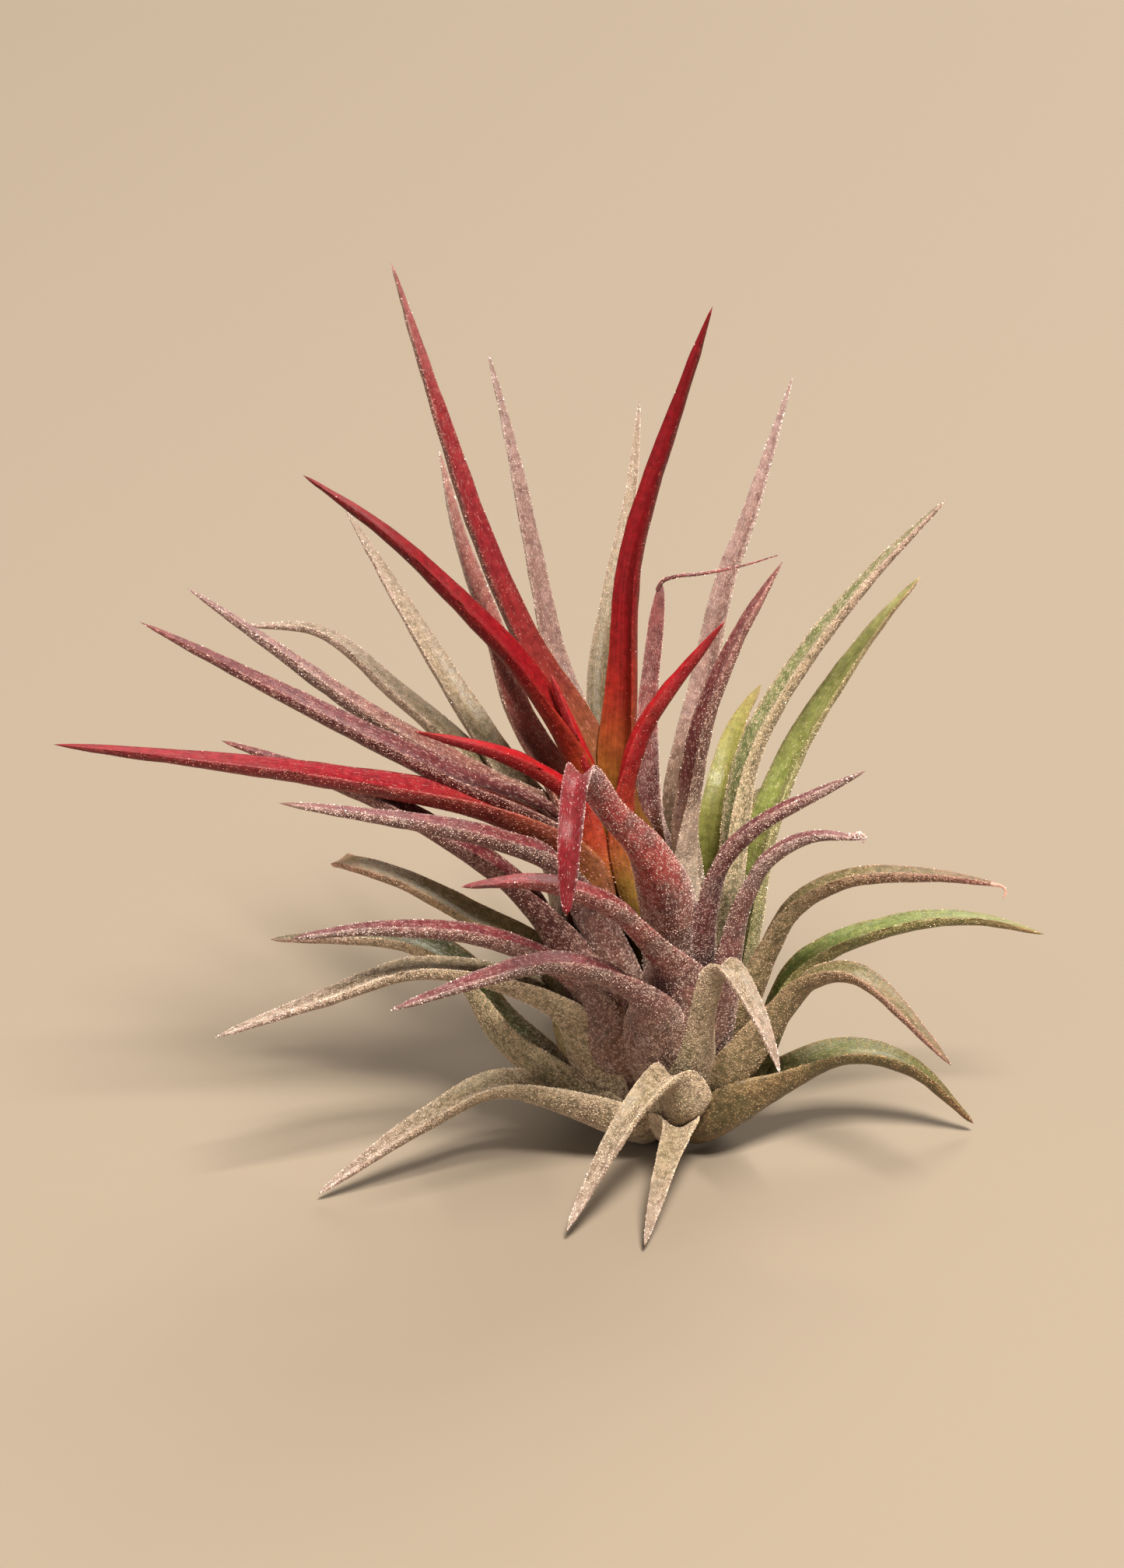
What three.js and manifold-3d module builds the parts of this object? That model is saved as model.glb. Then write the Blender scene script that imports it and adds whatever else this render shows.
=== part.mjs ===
// Tillandsia ionantha, an air plant: a short stem hidden in a rosette of separate curved leaves.
// Millimetres, +Z up. The stem's flat underside lies on z = 0 with its middle at the origin.
// The side that faces -Y is the front of the rosette.

import * as THREE from "three";
import { mergeVertices } from "three/addons/utils/BufferGeometryUtils.js";
import Module from "manifold-3d";

const wasm = await Module();
wasm.setup();

// Driving dimensions
const neighbourGap = 0.3;
const cutMargin = 1.4 * neighbourGap; // slanting faces then end up about neighbourGap apart
const stem = {
  height: 21,
  domeHeight: 0.5,
  baseRadius: 3.2,
  waistRadius: 2.7,
  waistHeight: 7,
  topRadius: 1.1,
  lean: -0.18, // sideways shift along X for each millimetre of height
  sides: 24,
};

// How far the sheath at a leaf's root rises and swells away from the stem, and its share of the full width.
const sheaths = {
  outer: { rise: 2.2, swell: 2.6, width: 1 },
  middle: { rise: 4.5, swell: 3.2, width: 1 },
  upper: { rise: 6, swell: 2, width: 0.85 },
  inner: { rise: 6, swell: 1, width: 0.55 },
};
const sheathEnd = 0.45; // place on the leaf where the sheath has become a blade
const bladeBase = 0.55; // the blade's own turn is taken from here to the tip
const turning = [0.1, 0.6]; // stretch over which a leaf turns from its root's turn to its blade's
const ringCount = 14;
const lastRing = 0.96;
const mergeDistance = 1e-4;

// How a leaf changes from its root (0) to its tip (1), as [place, value] with a straight change between.
// The width and the channel are times the leaf's own blade width, the thickness is in millimetres.
const widthOverBlade = [
  [0, 2], [0.14, 2.5], [0.3, 2.05], [0.45, 1.35], [0.6, 1.05], [0.75, 0.8], [0.88, 0.48], [1, 0.14],
];
const thickness = [[0, 0.65], [0.3, 0.8], [0.5, 0.95], [0.7, 0.9], [0.88, 0.65], [1, 0.45]];
const channelOverBlade = [[0, 0.5], [0.15, 0.75], [0.32, 0.6], [0.5, 0.28], [0.75, 0.12], [1, 0]];

// The cross-section: a channel inside, and a round back with points at these shares of the half width.
const backPlaces = [-0.62, 0, 0.62];
const rimThickness = 0.3;
const pointsPerRing = backPlaces.length + 5; // two points on each rim and one on the channel's floor

const colours = {
  silver: "#9c8f7e",
  olive: "#858055",
  plum: "#74474d",
  crimson: "#8f1f2d",
  stem: "#7d6b57",
};

// Each leaf: colour, turn of its root round the stem in degrees from +X, height of its root, blade width,
// then the points that its mid-line passes on the way to the tip. Lowest and outermost leaves come first.
const leaves = {
  outer: [
    ["silver", 274, 0.8, 1.6, [[0.4, -9.6, 4.6], [-0.6, -14, 3.9], [-2.3, -19.6, 0.7]]],
    ["silver", 240, 0.9, 2.1, [[-12.5, -7.5, 7], [-17.7, -9.4, 5.4], [-26, -12.2, 0.7]]],
    ["olive", 305, 0.9, 2.4, [[12.6, -2.6, 7], [17.6, -2.2, 5.8], [22.8, -2, 0.8]]],
    ["olive", 78, 1.0, 2.1, [[3, 12.5, 6], [5, 22, 0.7]]],
    ["olive", 108, 1.2, 2.1, [[-4.6, 12.5, 6.5], [-7.5, 21, 0.7]]],
    ["olive", 212, 1.8, 3.0, [[-12.4, -1.8, 8.4], [-15.8, -0.1, 12.8], [-19.8, 0.6, 14.8], [-30, 2.2, 14.2]]],
    ["silver", 276, 1.6, 1.75, [[0.8, -8.6, 6.2], [-0.3, -10, 9.2], [-2.9, -13.2, 8.1], [-7.9, -18, 0.9]]],
    ["olive", 345, 2.0, 1.8, [[9.9, -1.2, 13.7], [16.9, 0.1, 16.4], [22.4, 0.7, 16.6], [27.7, 0.7, 15.4]]],
    ["olive", 92, 2.2, 2.3, [[-1.6, 8.6, 10], [-2.6, 16, 14], [-3.4, 28, 12]]],
    ["silver", 225, 2.6, 2.1, [[-8.2, -6.6, 13], [-18, -8.8, 17.3], [-25.7, -11.2, 16],
      [-33.1, -13.3, 14.2]]],
    ["silver", 312, 2.8, 2.0, [[7.9, -6.2, 12.6], [10, -7.6, 15.9], [13.1, -9.4, 17.1], [19.7, -14.1, 12.4]]],
  ],
  middle: [
    ["silver", 292, 3.0, 2.0, [[2.2, -9.2, 14.6], [3.5, -11, 18.6], [5.6, -13.6, 16.4], [7.3, -16.5, 13.1]]],
    ["olive", 66, 3.2, 2.2, [[2.6, 8.4, 13], [4.6, 14, 17], [7.5, 23, 17]]],
    ["olive", 116, 3.6, 2.2, [[-5.4, 7.6, 13], [-7, 13, 17.5], [-11, 22, 17]]],
    ["plum", 218, 3.8, 2.1, [[-9, -4.4, 15.2], [-15.1, -3.4, 19], [-20, -2.7, 21.5], [-23.9, -1.7, 22.4],
      [-24.6, 2.4, 20.5]]],
    ["plum", 238, 4.0, 1.8, [[-6.7, -7.3, 15.1], [-9.8, -8.4, 18.1], [-14.7, -10.1, 20.8],
      [-21.5, -12.2, 22.3], [-27.4, -14.7, 22.9]]],
    ["silver", 326, 4.2, 1.7, [[7.1, -4.9, 17.5], [8.9, -5.1, 20.7], [12.7, -5.7, 23.1], [18.3, -6.6, 23.8],
      [23.5, -7.7, 23.6]]],
    ["plum", 270, 4.4, 2.05, [[-2, -10.6, 15.4], [-4.7, -12.6, 18.7], [-9.2, -15.1, 21],
      [-20.2, -20.4, 20.2]]],
    ["plum", 314, 5.0, 1.9, [[4.4, -7.2, 19.9], [5.1, -8, 22.9], [6.6, -8.7, 26.2], [9.6, -9.1, 28.1],
      [13.4, -10, 28.4]]],
    ["plum", 244, 5.2, 2.2, [[-9.9, -5.4, 20.4], [-18.5, -5.7, 27.7], [-25.5, -5, 30.9],
      [-32.6, -4.3, 33.5]]],
    ["plum", 284, 5.4, 2.9, [[-0.2, -9.2, 17], [-1.9, -11.3, 20.8], [-4.9, -13.6, 24.9], [-10, -15.5, 27.6],
      [-15.2, -17.6, 28.4]]],
    ["olive", 40, 5.6, 2.3, [[3.2, 6, 20], [3.8, 8, 24], [5, 12, 27], [7, 16, 29]]],
    ["olive", 20, 5.8, 2.1, [[6.8, 3.2, 22], [9.3, 6, 28], [12, 8.1, 32], [15.4, 10.7, 36.1],
      [18.6, 12.8, 39.2]]],
    ["olive", 98, 6.2, 1.5, [[-4.6, 5.6, 23], [-5.4, 11.4, 31], [-4.4, 16.7, 36], [-2.9, 22.7, 41.9],
      [-2.2, 28.5, 47.4]]],
  ],
  upper: [
    ["plum", 318, 6.6, 1.7, [[2.4, -5.8, 20.6], [3.4, -6.6, 25], [5.9, -7.4, 28.2], [13.3, -8.8, 33.2]]],
    ["plum", 252, 7.0, 2.0, [[-8.4, -6.8, 24.5], [-12.4, -8.4, 27.3], [-16.9, -10.2, 29.4],
      [-22.1, -11.8, 31.1], [-28, -13.3, 32.8]]],
    ["olive", 150, 7.4, 1.9, [[-9.4, 1.8, 22.4], [-14, 3.3, 27.5], [-20.6, 6.5, 32.5], [-26.1, 9.7, 35.9],
      [-32.1, 11.2, 35.9]]],
    ["olive", 136, 7.8, 1.9, [[-9.3, 2.6, 22.6], [-12.8, 3.9, 27.8], [-17.7, 8.4, 34.3],
      [-24.5, 17.6, 42.6]]],
    ["plum", 300, 8.0, 2.1, [[0, -6.4, 19.6], [-2.2, -9.8, 26.9], [-5, -12.4, 31.6], [-6.6, -16, 36],
      [-7.2, -20.4, 37.6], [-7.6, -24.4, 35.6], [-7.9, -26.6, 30.6]]],
    ["silver", 350, 8.4, 1.9, [[4.1, -0.9, 20], [5.6, 1.6, 29.4], [9, 3.3, 35.6], [14.1, 5.2, 42],
      [19.7, 6.8, 47.7]]],
    ["crimson", 226, 8.8, 2.4, [[-7.4, -3.7, 23.6], [-12.4, -4.4, 27.6], [-25.2, -6.8, 31.7],
      [-44.1, -8.9, 35.3]]],
    ["plum", 206, 9.2, 2.3, [[-7.6, -2, 24], [-16.6, -3.1, 30.1], [-22.8, -3.7, 33.8], [-38.4, -1.6, 41.6]]],
    ["plum", 180, 9.6, 1.9, [[-8, 0, 24], [-14, -0.3, 28.3], [-22.6, -0.8, 34.2], [-30.2, 0.4, 39.6],
      [-35.1, 1.2, 43]]],
    ["plum", 30, 10.0, 1.6, [[0.9, 3, 25], [2.7, 8.3, 34], [4.1, 11.7, 39.2], [5.9, 14.4, 43.5],
      [9.1, 20, 52.4]]],
    ["plum", 330, 10.4, 1.95, [[0.7, -3.7, 23.4], [1.3, -4.1, 30.3], [2.3, -4, 35.6], [4.4, -3, 40.9],
      [7.5, -1.6, 46.3]]],
    ["plum", 112, 11.0, 1.45, [[-6.3, 3.4, 29], [-8.8, 7, 35], [-10.5, 10.8, 42.2], [-12, 14, 48.9],
      [-13.7, 17.1, 55.4]]],
  ],
  inner: [
    ["plum", 160, 11.4, 1.8, [[-7.6, 1.2, 25], [-11.6, 4.5, 31.8], [-13.3, 7.2, 36.8], [-15.7, 10, 43],
      [-17.3, 12.8, 49.3]]],
    ["olive", 80, 11.8, 1.8, [[-3.6, 3.6, 24], [-4, 8, 28], [-3.6, 14, 33], [-3.4, 20, 34]]],
    ["plum", 20, 12.4, 1.7, [[-1.6, 1.4, 25], [-1.9, 3.5, 29.8], [-1.7, 5.3, 33.3], [-0.9, 7.9, 40.7]]],
    ["crimson", 220, 12.8, 2.1, [[-5.9, -1, 27], [-10.6, -0.7, 36.7], [-15, -0.4, 41.9], [-20.8, 1.4, 47.1],
      [-26.7, 2.8, 51.1]]],
    ["crimson", 236, 13.4, 1.6, [[-6.8, -2.7, 27.4], [-10.3, -3.9, 31], [-12.6, -4.6, 32.5],
      [-18.7, -5.8, 34.9]]],
    ["crimson", 150, 14.0, 1.7, [[-5.5, 0.6, 28], [-11, 2.6, 38.3], [-14.3, 4.9, 45.8], [-17.5, 8, 55],
      [-20.5, 11.2, 64.2]]],
    ["crimson", 290, 14.6, 1.6, [[-3.7, -2.7, 27], [-2.8, -3, 32.3], [-1.4, -3.2, 35.5], [3.4, -2.5, 42]]],
    ["crimson", 50, 15.2, 1.85, [[-3.6, 0, 27], [-3.5, 2.1, 36], [-3.1, 4.1, 43.5], [-1.8, 5.5, 48.7],
      [-0.1, 6.9, 53.7], [2.6, 8.9, 61.7]]],
    ["crimson", 300, 16.0, 1.3, [[-5.4, -1.2, 27], [-6.7, -1.7, 30.8], [-9, -0.4, 36.9]]],
  ],
};

// Value of a [place, value] list at one place.
function along(list, place) {
  const next = list.findIndex((row) => row[0] >= place);
  if (next <= 0) {
    return next === 0 ? list[0][1] : list[list.length - 1][1];
  }
  const [from, to] = [list[next - 1], list[next]];
  return THREE.MathUtils.lerp(from[1], to[1], (place - from[0]) / (to[0] - from[0]));
}

function stemRadius(height) {
  const { baseRadius, waistRadius, waistHeight, topRadius } = stem;
  return height < waistHeight
    ? THREE.MathUtils.lerp(baseRadius, waistRadius, height / waistHeight)
    : THREE.MathUtils.lerp(waistRadius, topRadius, (height - waistHeight) / (stem.height - waistHeight));
}

// Point beside the leaning stem, at a turn, a distance from its middle and a height.
function besideStem(turn, distance, height) {
  return new THREE.Vector3(
    stem.lean * height + distance * Math.cos(turn),
    distance * Math.sin(turn),
    height,
  );
}

// Mid-line of a leaf: up out of the stem beside it, over the swell of the sheath, then along the blade.
function midLine({ rootTurn, rootHeight, sheath, points }) {
  const rootDistance = stemRadius(rootHeight) + neighbourGap + thickness[0][1];
  const root = besideStem(rootTurn, rootDistance, rootHeight);
  const swollen = besideStem(rootTurn, rootDistance + sheath.swell, rootHeight + sheath.rise);
  const passed = points.map((point) => new THREE.Vector3(...point));
  return new THREE.CatmullRomCurve3([root, swollen, ...passed], false, "centripetal");
}

// Loop of cross-section points as [across, inward], grown on every side by extra.
// The mid-line runs through the middle of its depth.
function section(halfWidth, thick, channel, extra) {
  const bowed = (share) => channel * share * share + thick / 2 - channel / 2;
  const wide = halfWidth + extra;
  const back = backPlaces.map((share) => {
    return [share * wide, bowed(share) - thick * Math.sqrt(1 - share * share) - extra];
  });
  const rimTop = bowed(1) + extra;
  const rimBottom = bowed(1) - rimThickness - extra;
  return [
    [0, bowed(0) + extra],
    [-wide, rimTop],
    [-wide, rimBottom],
    ...back,
    [wide, rimBottom],
    [wide, rimTop],
  ];
}

// Direction of the blade seen from above, given within half a turn of the root's.
function bladeTurn(line, rootTurn) {
  const reach = line.getPointAt(1).sub(line.getPointAt(bladeBase));
  const difference = Math.atan2(reach.y, reach.x) - rootTurn;
  return rootTurn + Math.atan2(Math.sin(difference), Math.cos(difference));
}

// Closed sweep of the leaf section along its mid-line, grown on every side by extra.
function leafSweep(leaf, extra) {
  const line = midLine(leaf);
  const lastTurn = bladeTurn(line, leaf.rootTurn);
  const positions = [];
  for (let ring = 0; ring < ringCount; ring++) {
    const place = (lastRing * ring) / (ringCount - 1);
    const centre = line.getPointAt(place);
    const forward = line.getTangentAt(place);
    if (ring === 0) {
      centre.addScaledVector(forward, -extra);
    }
    const turned = THREE.MathUtils.smoothstep(place, ...turning);
    const turn = THREE.MathUtils.lerp(leaf.rootTurn, lastTurn, turned);
    const across = new THREE.Vector3(-Math.sin(turn), Math.cos(turn), 0);
    across.addScaledVector(forward, -across.dot(forward)).normalize();
    const inward = new THREE.Vector3().crossVectors(forward, across);
    const opened = THREE.MathUtils.smoothstep(place, 0, sheathEnd);
    const width = THREE.MathUtils.lerp(leaf.sheath.width, 1, opened) * leaf.bladeWidth;
    const halfWidth = (along(widthOverBlade, place) * width) / 2;
    const channel = along(channelOverBlade, place) * width;
    for (const [x, y] of section(halfWidth, along(thickness, place), channel, extra)) {
      const point = centre.clone().addScaledVector(across, x).addScaledVector(inward, y);
      positions.push(...point);
    }
  }
  positions.push(...line.getPointAt(1).addScaledVector(line.getTangentAt(1), extra));
  return solidFromRings(positions);
}

// Closed solid from the rings of section points and the apex, with a flat cap over the first ring.
function solidFromRings(positions) {
  const index = [];
  const next = (i) => (i + 1) % pointsPerRing;
  for (let first = 0; first < (ringCount - 1) * pointsPerRing; first += pointsPerRing) {
    for (let i = 0; i < pointsPerRing; i++) {
      const [a, b] = [first + i, first + next(i)];
      index.push(a, b, b + pointsPerRing, a, b + pointsPerRing, a + pointsPerRing);
    }
  }
  const last = (ringCount - 1) * pointsPerRing;
  const apex = ringCount * pointsPerRing;
  for (let i = 0; i < pointsPerRing; i++) {
    index.push(last + i, last + next(i), apex);
  }
  for (let i = 1; i < pointsPerRing - 1; i++) {
    index.push(0, i + 1, i);
  }
  return solidOf(positions, index);
}

function solidOf(positions, index) {
  const vertProperties = new Float32Array(positions);
  const triVerts = new Uint32Array(index);
  return new wasm.Manifold(new wasm.Mesh({ numProp: 3, vertProperties, triVerts }));
}

// The stem: round, flat underneath, narrowing to a low dome, and leaning as a whole.
function stemSolid(extra) {
  const halfway = (stem.waistHeight + stem.height) / 2;
  const profile = [new THREE.Vector2(0, -extra), new THREE.Vector2(stem.baseRadius + extra, -extra)];
  for (const height of [stem.waistHeight, halfway, stem.height]) {
    profile.push(new THREE.Vector2(stemRadius(height) + extra, height));
  }
  profile.push(new THREE.Vector2(0, stem.height + stem.domeHeight + extra));
  const turned = new THREE.LatheGeometry(profile, stem.sides).rotateX(Math.PI / 2);
  turned.applyMatrix4(new THREE.Matrix4().makeShear(0, 0, 0, 0, stem.lean, 0));
  turned.deleteAttribute("normal");
  turned.deleteAttribute("uv");
  const merged = mergeVertices(turned, mergeDistance);
  return solidOf(merged.attributes.position.array, merged.index.array);
}

function boxesMeet(a, b) {
  const [p, q] = [a.boundingBox(), b.boundingBox()];
  return [0, 1, 2].every((i) => p.min[i] < q.max[i] && q.min[i] < p.max[i]);
}

function largestBody(solid) {
  return solid.decompose().sort((a, b) => b.volume() - a.volume())[0];
}

function meshOf(solid, name, colour) {
  const { vertProperties, triVerts } = solid.getMesh();
  const geometry = new THREE.BufferGeometry();
  geometry.setAttribute("position", new THREE.BufferAttribute(vertProperties, 3));
  geometry.setIndex(new THREE.BufferAttribute(triVerts, 1));
  geometry.computeVertexNormals();
  const material = new THREE.MeshStandardMaterial({ color: colour, roughness: 0.8, metalness: 0 });
  const mesh = new THREE.Mesh(geometry, material);
  mesh.name = name;
  return mesh;
}

// Each leaf is cut clear of the stem and of every leaf outside it. Only its largest piece is kept.
const plant = new THREE.Group();
plant.add(meshOf(stemSolid(0), "stem", colours.stem));
const placed = [stemSolid(cutMargin)];
for (const [zone, rows] of Object.entries(leaves)) {
  rows.forEach(([colour, turnDegrees, rootHeight, bladeWidth, points], i) => {
    const rootTurn = THREE.MathUtils.degToRad(turnDegrees);
    const leaf = { rootTurn, rootHeight, bladeWidth, points, sheath: sheaths[zone] };
    let solid = leafSweep(leaf, 0);
    for (const neighbour of placed.filter((other) => boxesMeet(solid, other))) {
      solid = solid.subtract(neighbour);
    }
    const name = `${zone}_leaf_${String(i + 1).padStart(2, "0")}`;
    plant.add(meshOf(largestBody(solid), name, colours[colour]));
    placed.push(leafSweep(leaf, cutMargin));
  });
}

export default plant;
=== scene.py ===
import math
import bpy
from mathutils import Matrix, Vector


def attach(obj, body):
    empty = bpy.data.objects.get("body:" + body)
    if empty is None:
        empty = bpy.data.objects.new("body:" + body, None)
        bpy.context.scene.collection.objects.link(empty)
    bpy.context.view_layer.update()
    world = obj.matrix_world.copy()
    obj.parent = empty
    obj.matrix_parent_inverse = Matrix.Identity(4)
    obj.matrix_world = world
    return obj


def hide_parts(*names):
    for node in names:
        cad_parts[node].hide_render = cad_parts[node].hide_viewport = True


# Air plant: a rosette of stiff channelled leaves under silvery scales, on a short hidden stem.
# Lengths in the dictionaries are millimetres, everything in the scene is metres.

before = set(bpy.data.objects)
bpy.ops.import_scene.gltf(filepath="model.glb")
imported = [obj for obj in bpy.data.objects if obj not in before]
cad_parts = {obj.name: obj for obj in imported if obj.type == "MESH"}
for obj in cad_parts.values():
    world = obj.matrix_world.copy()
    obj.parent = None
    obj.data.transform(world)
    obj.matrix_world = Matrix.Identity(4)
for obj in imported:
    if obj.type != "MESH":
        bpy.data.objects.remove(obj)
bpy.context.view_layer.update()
mm = 0.001
print("frame loaded:", len(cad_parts), "nodes")


def linearColour(hexColour):
    channels = [int(hexColour[i:i + 2], 16) / 255 for i in (1, 3, 5)]
    return [c / 12.92 if c <= 0.04045 else ((c + 0.055) / 1.055) ** 2.4 for c in channels] + [1]


def addNode(tree, kind, links=None, **settings):
    # links holds sockets or plain values, by the input's name, or its number where a name is there twice
    node = tree.nodes.new(kind)
    for name, value in settings.items():
        setattr(node, name, value)
    for key, value in (links or {}).items():
        if isinstance(value, bpy.types.NodeSocket):
            tree.links.new(value, node.inputs[key])
        else:
            node.inputs[key].default_value = value
    return node


def span(side, ends):
    # Both ends of a Map Range's From or To side
    return {side + " Min": ends[0], side + " Max": ends[1]}


def newMaterial(name):
    material = bpy.data.materials.new(name)
    material.use_nodes = True
    return material, material.node_tree.nodes["Principled BSDF"]


def setSockets(node, values):
    for name, value in values.items():
        node.inputs[name].default_value = value


# Camera

view = {
    "aim": (-8.2, 10.75, 23.06),
    "elevation": 25,  # degrees above the horizon, looking along +Y
    "distance": 330,
    "lens": 100,
}


def addCamera():
    rise = math.radians(view["elevation"])
    away = Vector((0, -math.cos(rise), math.sin(rise)))
    data = bpy.data.cameras.new("camera")
    data.lens = view["lens"]
    camera = bpy.data.objects.new("camera", data)
    camera.location = (Vector(view["aim"]) + away * view["distance"]) * mm
    camera.rotation_euler = (math.radians(90) - rise, 0, 0)
    bpy.context.scene.collection.objects.link(camera)
    bpy.context.scene.camera = camera


addCamera()
print("camera placed")


# Leaves

stemForm = {
    "baseRadius": 3.2,
    "waistRadius": 2.7,
    "waistHeight": 7,
    "height": 21,
    "topRadius": 1.1,
    "lean": -0.18,
}

# Places along a leaf run from 0 at the root to 1 at the tip
leafForm = {
    "rootClearance": 0.95,  # from the stem's side to the mid-line
    "rings": 84,
    "around": 30,
    "curveSteps": 16,  # from each point of the mid-line to the next
    "bladeBase": 0.55,  # the blade's own turn is taken from here to the tip
    "turned": (0.1, 0.6),  # where it turns to that from the root's direction
    "sheathEnd": 0.45,
    "channelSoftness": 0.3,  # 0 is a sharp fold, 1 a round gutter
    "deepened": (0.6, 0.78),  # where a channel of another depth changes to it
    "bluntFrom": 0.82,  # a blunt tip is rounded from here
    "bluntThickness": 0.6,
    "unevenness": 0.09,
    "unevenEvery": 2.2,
    "weld": 0.002,  # points closer than this are joined, which closes the seam and the ends
    "maxWidth": 3,  # tops of the curves below
    "maxThickness": 1.5,
    # Width and channel are in blade widths
    "width": [(0, 2), (0.14, 2.5), (0.3, 2.05), (0.45, 1.35), (0.6, 1.05), (0.75, 0.8), (0.88, 0.48),
              (0.96, 0.24), (1, 0.04)],
    "thickness": [(0, 0.65), (0.3, 0.8), (0.5, 0.95), (0.7, 0.9), (0.88, 0.62), (0.96, 0.35), (1, 0.06)],
    "channel": [(0, 0.5), (0.15, 0.75), (0.32, 0.6), (0.5, 0.28), (0.75, 0.12), (1, 0)],
    "toneStep": 0.618,  # gives each leaf its own place between the darkest and the lightest
}

sheaths = {
    "outer": {"rise": 2.2, "swell": 2.6, "width": 1.0},
    "middle": {"rise": 4.5, "swell": 3.2, "width": 1.0},
    "upper": {"rise": 6, "swell": 2, "width": 0.85},
    "inner": {"rise": 6, "swell": 1, "width": 0.55},
}

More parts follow.
